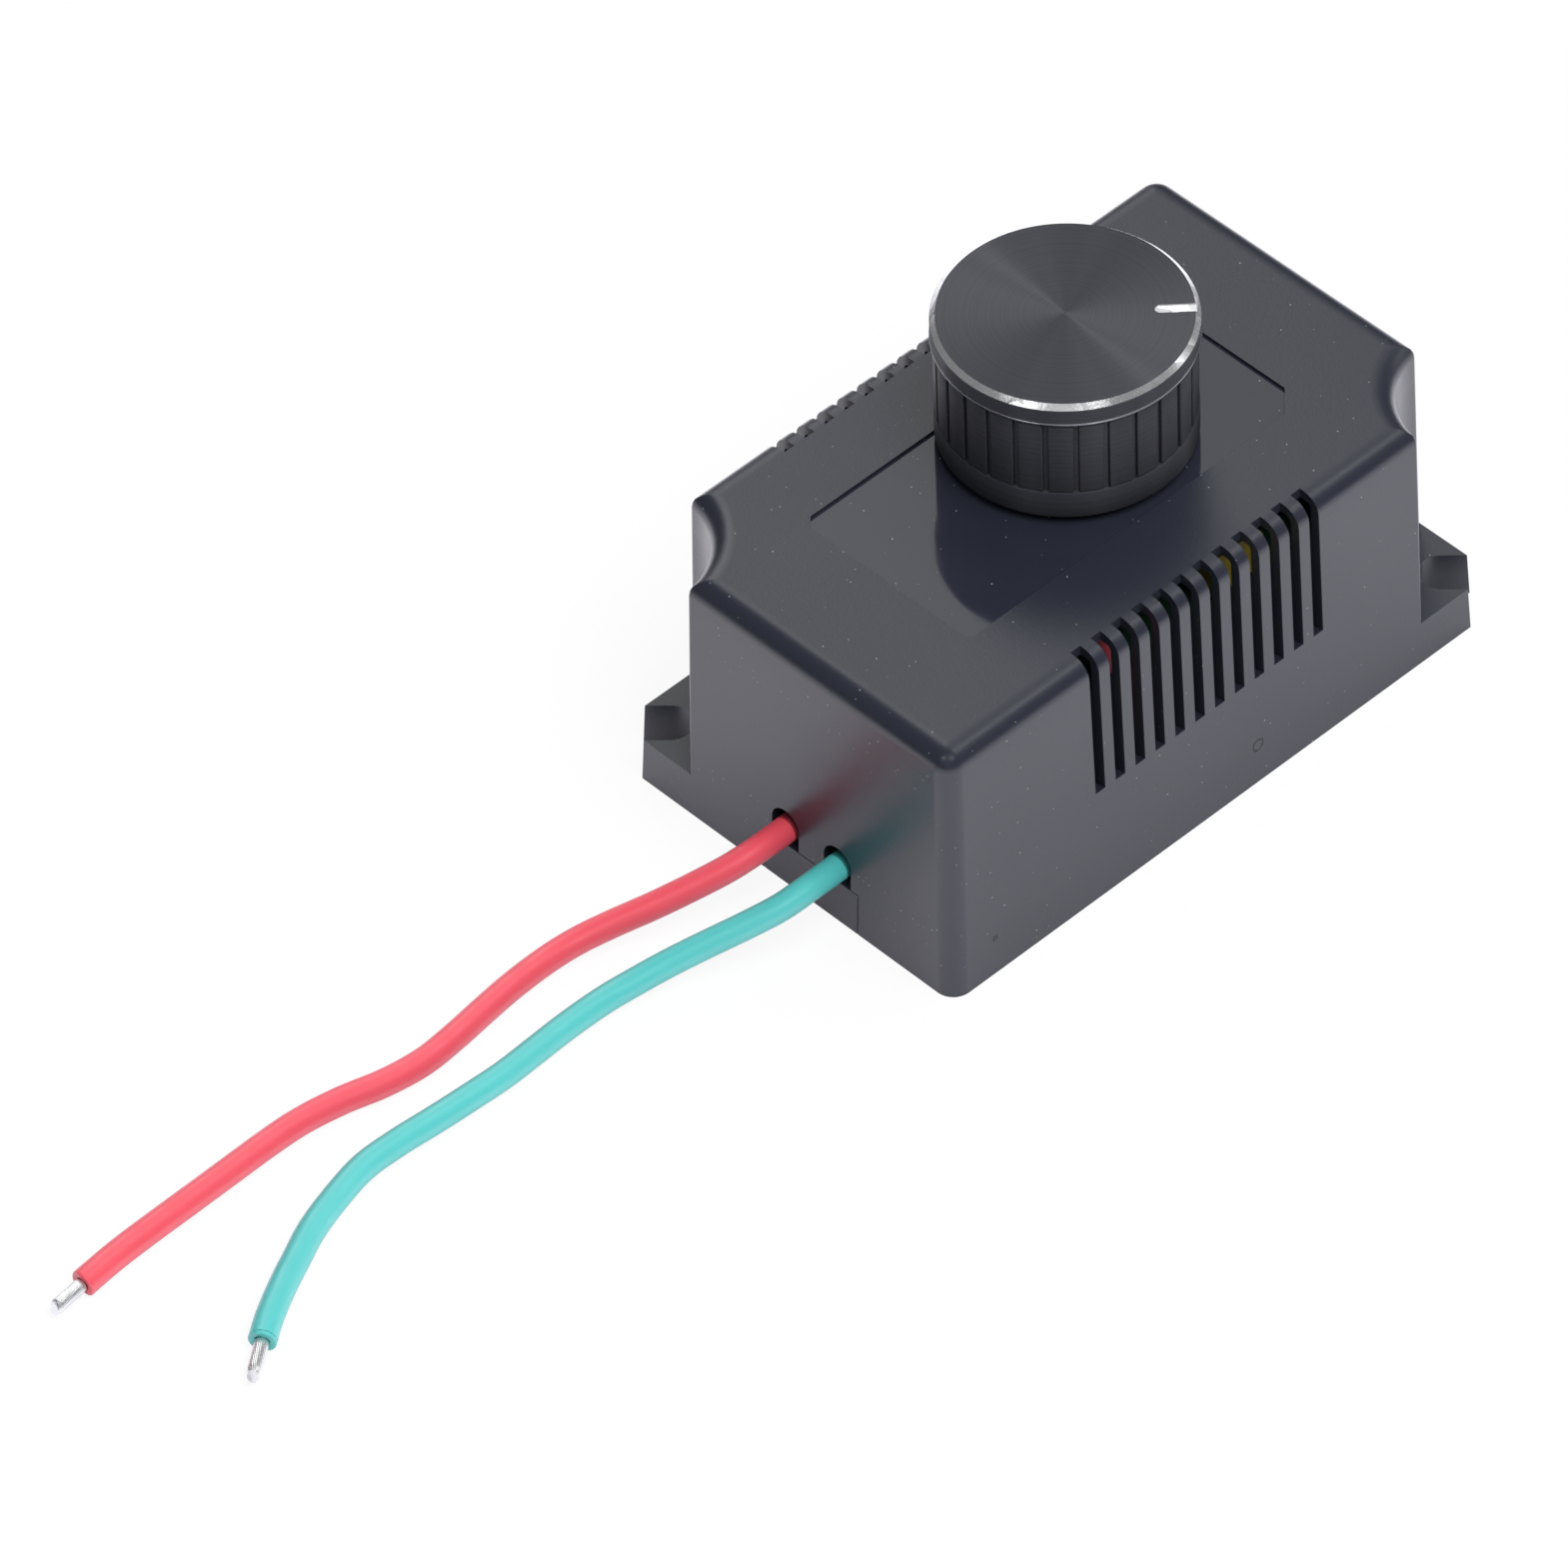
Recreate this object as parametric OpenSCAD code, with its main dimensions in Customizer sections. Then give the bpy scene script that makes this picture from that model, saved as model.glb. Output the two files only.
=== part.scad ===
// AC motor speed controller: a vented box with a rotary knob on its top and two free leads.
// The box stands on z = 0, centred on the origin. X runs along its long side, the leads leave
// at -X, and the vented sides face -Y and +Y. The ears stand at (-X, +Y) and (+X, -Y).

/* [Case] */
// Length of the case at its foot
case_l = 85.4; // [84:0.2:100]
// Width of the case at its foot
case_w = 53.2; // [52:0.2:62]
// Height of the case
case_h = 35; // [34:0.5:42]
// Thickness of the sides and of the top
wall = 2; // [1.8:0.1:2.4]
// Draft of the four sides, in degrees
draft = 2.4; // [1:0.1:3]
// Radius of the upright corners
corner_r = 2.4; // [2:0.1:4]
// Radius of the rounding round the top
top_edge_r = 2.2; // [1:0.1:2.3]

/* [Label recess] */
// Length of the shallow recess in the top
label_l = 52; // [46:0.5:60]
// Width of the recess
label_w = 26; // [24:0.5:30]
// Depth of the recess
label_depth = 0.4; // [0.2:0.1:0.6]
// Leg of the chamfer at the recess's corner next to the +X ear
label_chamfer = 3; // [2:0.5:5]
// Leg of the chamfer at the opposite corner
label_small_chamfer = 1.2; // [0.5:0.1:2]

/* [Mounting ears] */
// Radius of the round cut that stands above each ear
ear_cut_r = 11.3; // [10.5:0.1:12]
// Height of each ear
ear_h = 6; // [4:0.5:7]
// Width of the open slot in each ear
ear_slot_w = 5.4; // [4.4:0.1:5.8]
// Distance from the case's corner to the centre of the slot's round end
ear_slot_in = 6; // [5:0.1:6.4]
// Rounding of the top's edge along the round cut
ear_rim_r = 0.9; // [0.5:0.1:1.4]

/* [Vents] */
// Number of slots in each long side
vent_count = 12; // [8:1:14]
// Distance from slot to slot
vent_pitch = 3.1; // [2.8:0.1:3.4]
// Width of each slot
vent_slot_w = 1.5; // [1:0.1:1.8]
// Height at which the slots begin
vent_z = 15.6; // [14:0.2:20]
// How far the slots reach in over the top
vent_reach = 2.8; // [2.2:0.1:3.6]
// Place of the middle of both rows along X
vent_x = -2; // [-4:0.5:3]
// Wall left in the thinner band behind the slots
vent_wall = 1.2; // [1:0.1:1.4]
// Height of that band, down from the top
vent_band_h = 5.5; // [4:0.5:7]

/* [Base cover] */
// Thickness of the base cover
cover_t = 2; // [1.6:0.1:2.4]
// Wall left outside the seat of the cover
rim_w = 1; // [0.8:0.1:1.2]
// Width of the cover's tab under the leads
tab_w = 14.6; // [14:0.2:18]
// Height of the tab
tab_h = 5.9; // [5:0.1:7]
// Gap round the cover and its tab
cover_gap = 0.12; // [0.08:0.01:0.2]
// Radius of the posts under the board
post_r = 2.5; // [2:0.1:3]
// Distance of the posts from the ends of the case
post_from_end = 13.7; // [12.5:0.1:15]
// Distance of the posts from its long sides
post_from_side = 11.1; // [10.5:0.1:12]

/* [Cover screws] */
// Radius of the screw's thread
screw_r = 1.45; // [1.2:0.05:1.6]
// Radius of the screw's head
screw_head_r = 2.7; // [2.4:0.1:3]
// Length of the screw
screw_l = 10; // [8:0.5:12]
// Distance of each screw from the two sides next to it
screw_in = 5.2; // [5:0.1:6]
// Radius of the screw boss in the case
boss_r = 3.4; // [3:0.1:4]

/* [Leads] */
// Diameter of the insulation
lead_d = 3.2; // [2.8:0.1:3.6]
// Diameter of the bare stranded end
core_d = 1.7; // [1.3:0.1:2]
// Length of the bare end
core_l = 5.4; // [4:0.2:8]
// Width of each arched opening in the wall
arch_w = 4.2; // [4:0.1:4.8]
// Height of each opening above the tab
arch_h = 5; // [4.6:0.1:6]
// Distance between the two leads
lead_pitch = 8.2; // [7.8:0.1:9]
// Place of the middle of the pair along Y
lead_y = -4.2; // [-6:0.2:-3]

/* [Potentiometer] */
// Place of the knob and the potentiometer along X
knob_x = 4.5; // [2:0.5:6]
// Place of the knob and the potentiometer along Y
knob_y = 2.5; // [0:0.5:3.5]
// Height of the potentiometer's body under the top
pot_h = 8.6; // [8:0.1:9.4]
// Radius of the body
pot_r = 8.1; // [7.8:0.1:8.4]
// Radius of the threaded bushing
bushing_r = 3.5; // [3.4:0.1:3.7]
// Length of the bushing above the body
bushing_l = 7.4; // [7:0.1:8]
// Radius of the shaft
shaft_r = 3; // [2.8:0.05:3.1]
// Length of the shaft above the body
shaft_l = 15; // [14:0.5:16]
// Distance across the flats of the nut
nut_w = 10; // [9.6:0.1:10.6]
// Thickness of the nut
nut_t = 2; // [1.6:0.1:2.4]
// Thickness of the washer
washer_t = 0.5; // [0.3:0.1:0.7]

/* [Knob] */
// Outer diameter of the knob
knob_d = 30; // [28:0.5:34]
// Height of the knob
knob_h = 17; // [16:0.5:20]
// Gap between the case's top and the knob
knob_gap = 0.8; // [0.6:0.1:1.2]
// Wall of the knob's aluminium shell
knob_wall = 1.5; // [1.2:0.1:1.8]
// Width of the bright chamfer round the knob's top
knob_chamfer_w = 0.7; // [0.4:0.1:1]
// Number of flutes round the grip
flute_count = 27; // [20:1:36]
// Depth of the flat pads below the bands
pad_depth = 0.4; // [0.2:0.05:0.5]
// Width of the groove between two pads
groove_w = 0.65; // [0.4:0.05:0.8]
// Depth of the groove below the pads
groove_depth = 0.3; // [0.2:0.05:0.5]
// How far the foot's band stands out past the corners of the pads
foot_step = 0.05; // [0.03:0.01:0.2]
// Height of the plain band at the knob's foot
foot_band_h = 3.7; // [3:0.1:5]
// Height of the plain band at its top, with the chamfer
top_band_h = 2.8; // [2:0.1:4]
// Direction in which the pointer line looks, from +X, in degrees
pointer_deg = -42; // [-180:1:180]
// Width of the pointer line
pointer_w = 0.8; // [0.6:0.1:1.2]
// Distance of the line's inner end from the knob's axis
pointer_in = 10; // [8:0.5:12]

/* [Board and parts] */
// Thickness of the circuit board
board_t = 1.6; // [1.2:0.1:2]
// Gap between the board's edge and the case
board_gap = 1.4; // [1:0.1:1.8]
// Width of the heat sink
sink_l = 20; // [18:0.5:22]
// Depth of the heat sink's fins
sink_fin = 8; // [6:0.5:8.5]
// Height of the heat sink
sink_h = 18; // [16:0.5:19]
// Length of the film capacitor under the board
film_cap_l = 18; // [15:0.5:20]
// Width of the film capacitor
film_cap_w = 8; // [6:0.5:9]
// Height of the film capacitor
film_cap_h = 14; // [12:0.5:16]

/* [Hidden] */

// Facets of turned parts and of the children of a hull
$fn = 64;
hull_fn = 32;
// Steps of a quarter round
arc_steps = 6;
// Overrun of every cut, and the gap of parts that are fixed in one another
over = 1;
fit_gap = 0.02;

lean = tan(draft);
half_l0 = case_l / 2;
half_w0 = case_w / 2;
post_x = half_l0 - post_from_end;
post_y = half_w0 - post_from_side;
function half_l(z) = half_l0 - z * lean;
function half_w(z) = half_w0 - z * lean;
top_in_z = case_h - wall;

// Upright land at the foot of the case, and the radius of its inner corners
foot_land = 0.3;
inner_r = 0.8;

// The two ears stand at these corners, and the two screws at the other two
ear_corners = [[-half_l0, half_w0], [half_l0, -half_w0]];
ear_turns = [-45, 135];
screw_spots = [
    [-(half_l0 - screw_in), -(half_w0 - screw_in)],
    [half_l0 - screw_in, half_w0 - screw_in]
];
screw_head_h = screw_head_r - screw_r;
boss_top = screw_l + 2 * cover_t;

// Arched openings of the leads
lead_ys = [lead_y + lead_pitch / 2, lead_y - lead_pitch / 2];
lead_z = tab_h + arch_w / 2;
exit_x = -half_l(lead_z);
arch_spring_z = tab_h + arch_h - arch_w / 2;

// Heights of the board and the knob
board_top = top_in_z - pot_h;
board_z = board_top - board_t;
knob_z = case_h + knob_gap;
knob_r = knob_d / 2;
knob_top_t = 1.6;
// Room under the knob's core for the nut and the bushing
core_rise = 0.8;
nut_room_r = 7;
nut_room_gap = 0.5;

// Potentiometer: plate, track and housing stacked under the top
bushing_room = 0.2;
pot_plate_t = 1;
pot_track_t = 1;
pot_wall = 1;
pot_floor_t = 0.8;
pot_tail_w = 12.6;
pot_tail_l = 4;
terminal_pitch = 5;
terminal_w = 1;
terminal_t = 0.4;
shaft_gap = 0.05;
rotor_gap = 0.4;
rotor_t = 2.2;
wiper_gap = 0.05;
wiper_room = 0.3;
wiper_w = 1.6;
hub_wall = 0.6;
hub_r = shaft_r + hub_wall;
pot_track_z = top_in_z - pot_plate_t - pot_track_t;
rotor_top_z = pot_track_z - wiper_room;

// Triac, heat sink and their screw, under the board
triac_from_end = 22.7;
triac_x = half_l0 - triac_from_end;
triac_from_side = 24.6;
triac_y = half_w0 - triac_from_side;
triac_w = 10;
triac_body_h = 9;
triac_body_t = 3.2;
triac_tab_t = 1.3;
triac_tab_h = 6.5;
triac_leg = 3;
triac_leg_w = 0.8;
triac_leg_t = 0.5;
triac_leg_pitch = 2.54;
triac_hole_in = 3;
sink_t = 2;
sink_fin_t = 1.4;
sink_fins = 4;
m3_r = 1.5;
m3_head_r = 2.75;
m3_head_h = 1.9;
m3_hole_r = 1.8;
m3_l = 6;

// Small parts on the board
film_cap_x = -8;
film_cap_y = 9;
film_cap_pin_pitch = 15;
film_cap_stand = 0.6;
pin_r = 0.4;
timing_cap_x = -22;
timing_cap_y = 7;
timing_cap_size = [7.2, 2.5, 6.5];
yellow_cap_x = 6.8;
yellow_cap_from_side = 7;
yellow_cap_y = -(half_w0 - yellow_cap_from_side);
yellow_cap_w = 8;
yellow_cap_t = 4;
yellow_cap_r = 1.6;
yellow_cap_h = 6.6;
yellow_cap_stand = 1.3;
yellow_cap_pin_pitch = 5;
resistor_x = 2;
resistor_ys = [-7, -10.5, -14];
resistor_l = 6.4;
resistor_r = 1.2;
resistor_span = 10;
wire_r = 0.3;
diac_x = -22;
diac_y = 1.5;
diac_l = 4;
diac_r = 0.9;
diac_span = 8;
solder_r = 1.2;
solder_h = 0.7;

// Free leads: places from the exit, along X and Y, and how much of the exit's height is left
tube_sides = 8;
drop_shares = [
    1, 1, 0.88, 0.68, 0.46, 0.26, 0.11, 0.03, 0, 0, 0, 0, 0, 0, 0, 0, 0, 0, 0, 0, 0
];
red_route = [
    [0, 0], [-4, 0], [-8, 0.8], [-12, 2.5], [-16, 4.5], [-20, 6.6], [-24, 8.2], [-28, 8.9],
    [-33, 8.9], [-38, 8.4], [-43, 7.8], [-48, 7.5], [-53, 8.2], [-58, 9.6], [-63, 10.5],
    [-68, 10.7], [-74, 10.6], [-80, 10.5], [-86, 10.4], [-91, 10.2], [-96, 9.7]
];
green_route = [
    [0, 0], [-4, 0], [-8, 0.6], [-12, 2.3], [-16, 4.3], [-20, 6.1], [-24, 7.4], [-28, 8.2],
    [-33, 8.4], [-38, 8.2], [-43, 8], [-48, 8.2], [-53, 8.5], [-58, 8.9], [-63, 8.9],
    [-68, 7.8], [-73, 6.2], [-77, 4.3], [-81, 2.3], [-85, 0], [-88, -2.1]
];
rest_z = lead_d / 2;
function lead_points(route, y) = [
    for (i = [0:len(route) - 1])
        [exit_x + route[i][0], y + route[i][1], rest_z + drop_shares[i] * (lead_z - rest_z)]
];
red_points = lead_points(red_route, lead_ys[0]);
green_points = lead_points(green_route, lead_ys[1]);

// Leads inside the case. The red one climbs past the board's edge and bends down onto it.
riser_x = -14;
riser_gap = 0.5;
riser_y = -(half_w(top_in_z) - wall - lead_d / 2 - riser_gap);
hook_r = 4.2;
hook_z = top_in_z - riser_gap - lead_d / 2 - hook_r;
red_inner_route = [
    [exit_x, lead_ys[0], lead_z], [exit_x + lead_d, lead_ys[0], lead_z],
    [exit_x + 2 * lead_d, lead_ys[0], lead_z], [-30, -0.6, lead_z],
    [-25, -4, 8.4], [-21, -10, 9.2], [-17.5, -16, 11], [riser_x - 1, riser_y + 1, 14.5],
    [riser_x, riser_y, 19], [riser_x, riser_y, hook_z]
];
green_rise_from_exit = 10.4;
green_inner_x = exit_x + green_rise_from_exit;
green_inner_route = [
    [exit_x, lead_ys[1], lead_z], [exit_x + lead_d, lead_ys[1], lead_z],
    [exit_x + 2 * lead_d, lead_ys[1], lead_z],
    [green_inner_x - lead_d / 4, lead_ys[1], lead_z + lead_d * 0.7],
    [green_inner_x, lead_ys[1], lead_z + 2 * lead_d],
    [green_inner_x, lead_ys[1], board_z - lead_d],
    [green_inner_x, lead_ys[1], board_z]
];

// A slab with upright round corners, centred in plan, its foot at z = 0
module rounded_slab(l, w, r, h) {
    translate([-l / 2, -w / 2 + r, 0]) cube([l, w - 2 * r, h]);
    translate([-l / 2 + r, -w / 2, 0]) cube([l - 2 * r, w, h]);
    for (sx = [-1, 1], sy = [-1, 1])
        translate([sx * (l / 2 - r), sy * (w / 2 - r), 0]) cylinder(r = r, h = h);
}

// A disc whose upper edge is rounded
module rounded_disc(r, edge, steps) {
    rotate_extrude($fn = hull_fn)
        polygon(concat(
            [[0, 0]],
            [for (i = [0:steps]) let (a = 90 * i / steps)
                [r - edge + edge * cos(a), edge * sin(a)]],
            [[0, edge]]
        ));
}

// The outer form of the case: drafted sides and a rounded top edge
module outer_block() {
    hull() {
        for (sx = [-1, 1], sy = [-1, 1]) {
            translate([sx * (half_l0 - corner_r), sy * (half_w0 - corner_r), 0])
                cylinder(r = corner_r, h = foot_land, $fn = hull_fn);
            translate([
                sx * (half_l(case_h - top_edge_r) - corner_r),
                sy * (half_w(case_h - top_edge_r) - corner_r),
                case_h - top_edge_r
            ])
                rounded_disc(corner_r, top_edge_r, arc_steps);
        }
    }
}

// The space inside the sides, left by a wall of the given thickness
module inner_block(inset) {
    hull() {
        for (sx = [-1, 1], sy = [-1, 1], z = [-over, case_h - inset - over])
            translate([
                sx * (half_l(z) - inset - inner_r),
                sy * (half_w(z) - inset - inner_r),
                z
            ])
                cylinder(r = inner_r, h = z < 0 ? foot_land : over, $fn = hull_fn);
    }
}

module at_ears() {
    for (i = [0, 1])
        translate(ear_corners[i]) rotate(ear_turns[i]) children();
}

module at_screws() {
    for (spot = screw_spots)
        translate(spot) children();
}

// One slot: cut through the side and over the top's edge
module vent_slot() {
    translate([-vent_slot_w / 2, -half_w0 - over, vent_z])
        cube([vent_slot_w, half_w0 + over - half_w(case_h) + vent_reach, case_h]);
}

module vent_row() {
    for (i = [0:vent_count - 1])
        translate([(i - (vent_count - 1) / 2) * vent_pitch, 0, 0]) vent_slot();
}

// The room of the thinner band behind one row of slots
module vent_band() {
    row_l = vent_count * vent_pitch + wall;
    translate([-row_l / 2, -half_w0, case_h - vent_band_h])
        cube([row_l, half_w0 - half_w(case_h) + 2 * wall, vent_band_h]);
}

module on_both_sides() {
    translate([vent_x, 0, 0]) {
        children();
        mirror([0, 1, 0]) children();
    }
}

// The recess's outline, with its two unlike chamfers
module label_outline() {
    x = label_l / 2;
    y = label_w / 2;
    polygon([
        [-x, -y], [x - label_chamfer, -y], [x, -y + label_chamfer],
        [x, y], [-x + label_small_chamfer, y], [-x, y - label_small_chamfer]
    ]);
}

// The rounding that runs along the top edge of one round cut
module ear_rim() {
    r = ear_cut_r;
    e = ear_rim_r;
    rotate_extrude()
        polygon(concat(
            [[r - over, case_h + over], [r - over, case_h - e]],
            [for (i = [0:arc_steps]) let (a = 90 * i / arc_steps)
                [r + e - e * cos(a), case_h - e + e * sin(a)]],
            [[r + e, case_h + over]]
        ));
}

module arches() {
    for (y = lead_ys) {
        translate([-half_l0 - over, y - arch_w / 2, tab_h - over])
            cube([2 * wall + over, arch_w, arch_spring_z - tab_h + over]);
        translate([-half_l0 - over, y, arch_spring_z])
            rotate([0, 90, 0]) cylinder(d = arch_w, h = 2 * wall + over);
    }
}

module upper_case() {
    color("#3b3c40")
    difference() {
        union() {
            difference() {
                outer_block();
                difference() {
                    union() {
                        inner_block(wall);
                        intersection() {
                            inner_block(vent_wall);
                            on_both_sides() vent_band();
                        }
                    }
                    at_ears() translate([0, 0, -over])
                        cylinder(r = ear_cut_r + wall, h = case_h + over);
                }
                // Seat of the base cover
                difference() {
                    translate([0, 0, -over])
                        rounded_slab(
                            2 * (half_l(cover_t) - rim_w), 2 * (half_w(cover_t) - rim_w),
                            inner_r + rim_w, cover_t + over
                        );
                    at_ears() translate([0, 0, -over])
                        cylinder(r = ear_cut_r + rim_w, h = cover_t + 2 * over);
                }
            }
            intersection() {
                at_screws() translate([0, 0, cover_t])
                    cylinder(r = boss_r, h = boss_top - cover_t);
                translate([0, 0, -over])
                    rounded_slab(
                        2 * (half_l(boss_top) - wall / 2), 2 * (half_w(boss_top) - wall / 2),
                        corner_r, case_h
                    );
            }
        }
        at_screws() translate([0, 0, cover_t - over])
            cylinder(r = screw_r + fit_gap, h = screw_l + over);
        // Round cuts above the ears, and the ears' open slots
        at_ears() {
            translate([0, 0, ear_h]) cylinder(r = ear_cut_r, h = case_h);
            ear_rim();
            translate([ear_slot_in, 0, -over]) cylinder(d = ear_slot_w, h = case_h);
            translate([-ear_cut_r, -ear_slot_w / 2, -over])
                cube([ear_cut_r + ear_slot_in, ear_slot_w, case_h]);
        }
        on_both_sides() vent_row();
        translate([0, 0, case_h - label_depth])
            linear_extrude(height = label_depth + over) label_outline();
        translate([knob_x, knob_y, top_in_z - over])
            cylinder(r = bushing_r + bushing_room, h = wall + 2 * over);
        // Notch for the cover's tab, and the leads' openings above it
        translate([-half_l0 - over, lead_y - tab_w / 2 - cover_gap, -over])
            cube([2 * wall + over, tab_w + 2 * cover_gap, tab_h + over]);
        arches();
    }
}

module base_cover() {
    plate_l = 2 * (half_l(cover_t) - rim_w - cover_gap);
    plate_w = 2 * (half_w(cover_t) - rim_w - cover_gap);
    color("#2e2f32")
    difference() {
        union() {
            rounded_slab(plate_l, plate_w, inner_r + rim_w, cover_t);
            intersection() {
                outer_block();
                translate([-half_l0 - over, lead_y - tab_w / 2, 0])
                    cube([wall + over, tab_w, tab_h - fit_gap]);
            }
            for (sx = [-1, 1], sy = [-1, 1])
                translate([sx * post_x, sy * post_y, 0]) cylinder(r = post_r, h = board_z);
        }
        at_ears() translate([0, 0, -over])
            cylinder(r = ear_cut_r + rim_w + cover_gap, h = cover_t + 2 * over);
        at_screws() {
            translate([0, 0, -over]) cylinder(r = screw_r + cover_gap, h = cover_t + 2 * over);
            cylinder(r1 = screw_head_r + fit_gap, r2 = screw_r + fit_gap, h = screw_head_h);
            translate([0, 0, -over]) cylinder(r = screw_head_r + fit_gap, h = over);
        }
    }
}

module cover_screws() {
    drive_w = 0.8;
    drive_l = 3.2;
    drive_depth = 0.7;
    color("#b9bcc0")
    at_screws() difference() {
        union() {
            cylinder(r1 = screw_head_r, r2 = screw_r, h = screw_head_h);
            cylinder(r = screw_r, h = screw_l - screw_r);
            translate([0, 0, screw_l - screw_r])
                cylinder(r1 = screw_r, r2 = screw_r / 3, h = screw_r);
        }
        for (turn = [0, 90])
            rotate(turn) translate([-drive_l / 2, -drive_w / 2, -over])
                cube([drive_l, drive_w, drive_depth + over]);
    }
}

// Outline of the fluted grip: flat pads with a square groove between each two
flute_step = 360 / flute_count;
pad_a = knob_r - pad_depth;
flute_gap = asin(groove_w / 2 / pad_a);
grip_edge_r = pad_a / cos(flute_step / 2 - flute_gap);
module grip_outline() {
    groove_r = pad_a - groove_depth;
    polygon([
        for (i = [0:flute_count - 1])
            for (p = [
                [i * flute_step + flute_gap, groove_r],
                [i * flute_step + flute_gap, grip_edge_r],
                [(i + 1) * flute_step - flute_gap, grip_edge_r],
                [(i + 1) * flute_step - flute_gap, groove_r]
            ])
                p[1] * [cos(p[0]), sin(p[0])]
    ]);
}

module knob_shell() {
    flute_turn = 5;
    pointer_depth = 0.3;
    foot_chamfer = 0.3;
    chamfer_h = 0.6;
    foot_r = grip_edge_r + foot_step;
    color("#2c2d31")
    translate([knob_x, knob_y, knob_z])
    rotate(pointer_deg)
    difference() {
        union() {
            rotate_extrude() polygon([
                [0, 0], [foot_r - foot_chamfer, 0], [foot_r, foot_chamfer],
                [foot_r, foot_band_h], [0, foot_band_h]
            ]);
            // The grip runs on inside both bands, which are wider
            rotate(flute_turn) translate([0, 0, foot_band_h - over])
                linear_extrude(height = knob_h - top_band_h - foot_band_h + 2 * over)
                    grip_outline();
            translate([0, 0, knob_h - top_band_h]) rotate_extrude() polygon([
                [0, 0], [knob_r, 0], [knob_r, top_band_h - chamfer_h],
                [knob_r - knob_chamfer_w, top_band_h], [0, top_band_h]
            ]);
        }
        translate([0, 0, -over])
            cylinder(r = knob_r - knob_wall, h = knob_h - knob_top_t + over);
        translate([pointer_in, 0, knob_h - pointer_depth]) {
            cylinder(d = pointer_w, h = over);
            translate([0, -pointer_w / 2, 0]) cube([knob_r, pointer_w, over]);
        }
    }
}

module knob_core() {
    nut_room_top = top_in_z + bushing_l + nut_room_gap;
    shaft_top = top_in_z + shaft_l;
    core_z = knob_z + core_rise;
    color("#1d1e20")
    translate([knob_x, knob_y, 0])
    difference() {
        translate([0, 0, core_z])
            cylinder(r = knob_r - knob_wall - fit_gap, h = knob_h - knob_top_t - core_rise);
        translate([0, 0, core_z - over]) cylinder(r = nut_room_r, h = nut_room_top - core_z + over);
        translate([0, 0, core_z]) cylinder(r = shaft_r + fit_gap, h = shaft_top + fit_gap - core_z);
    }
}

module pot_shaft() {
    shaft_z = board_top + pot_floor_t + rotor_gap;
    tip_chamfer = 0.5;
    color("#c9cbce")
    translate([knob_x, knob_y, 0]) {
        translate([0, 0, shaft_z])
            cylinder(r = shaft_r, h = top_in_z + shaft_l - tip_chamfer - shaft_z);
        translate([0, 0, top_in_z + shaft_l - tip_chamfer])
            cylinder(r1 = shaft_r, r2 = shaft_r - tip_chamfer, h = tip_chamfer);
    }
}

module pot_rotor() {
    color("#e9e4d2")
    translate([knob_x, knob_y, rotor_top_z - rotor_t])
    difference() {
        cylinder(r = pot_r - pot_wall - rotor_gap, h = rotor_t);
        translate([0, 0, -over]) cylinder(r = shaft_r + fit_gap, h = rotor_t + 2 * over);
    }
}

module pot_wiper() {
    arm_l = pot_r - pot_wall - rotor_gap - hub_r;
    color("#c79a4b")
    translate([knob_x, knob_y, rotor_top_z]) rotate(pointer_deg)
        translate([hub_r, -wiper_w / 2, 0])
            cube([arm_l, wiper_w, pot_track_z - wiper_gap - rotor_top_z]);
}

module pot_bushing() {
    color("#aeb1b5")
    translate([knob_x, knob_y, 0])
    difference() {
        union() {
            translate([0, 0, top_in_z - pot_plate_t]) cylinder(r = pot_r, h = pot_plate_t);
            translate([0, 0, top_in_z - pot_plate_t])
                cylinder(r = bushing_r, h = pot_plate_t + bushing_l);
        }
        translate([0, 0, top_in_z - pot_plate_t - over])
            cylinder(r = shaft_r + shaft_gap, h = pot_plate_t + bushing_l + 2 * over);
    }
}

module pot_track() {
    color("#8a6a3c")
    translate([knob_x, knob_y, pot_track_z])
    difference() {
        union() {
            cylinder(r = pot_r, h = pot_track_t);
            translate([-pot_tail_w / 2, -pot_r - pot_tail_l, 0])
                cube([pot_tail_w, pot_tail_l + pot_r / 2, pot_track_t]);
        }
        translate([0, 0, -over]) cylinder(r = hub_r, h = pot_track_t + 2 * over);
    }
}

module pot_housing() {
    color("#3a2f28")
    translate([knob_x, knob_y, board_top])
    difference() {
        cylinder(r = pot_r, h = pot_track_z - board_top);
        translate([0, 0, pot_floor_t])
            cylinder(r = pot_r - pot_wall, h = pot_track_z - board_top);
    }
}

module pot_terminals() {
    color("#d5d7d9")
    for (i = [-1:1])
        translate([
            knob_x + i * terminal_pitch - terminal_w / 2,
            knob_y - pot_r - pot_tail_l / 2,
            board_top
        ])
            cube([terminal_w, terminal_t, pot_track_z - board_top]);
}

module pot_washer() {
    washer_share = 0.64;
    color("#c4c6c9")
    translate([knob_x, knob_y, case_h - label_depth])
    difference() {
        cylinder(r = nut_w * washer_share, h = washer_t);
        translate([0, 0, -over]) cylinder(r = bushing_r + fit_gap, h = washer_t + 2 * over);
    }
}

module pot_nut() {
    color("#c4c6c9")
    translate([knob_x, knob_y, case_h - label_depth + washer_t])
    difference() {
        cylinder(d = nut_w / cos(30), h = nut_t, $fn = 6);
        translate([0, 0, -over]) cylinder(r = bushing_r + fit_gap, h = nut_t + 2 * over);
    }
}

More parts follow.
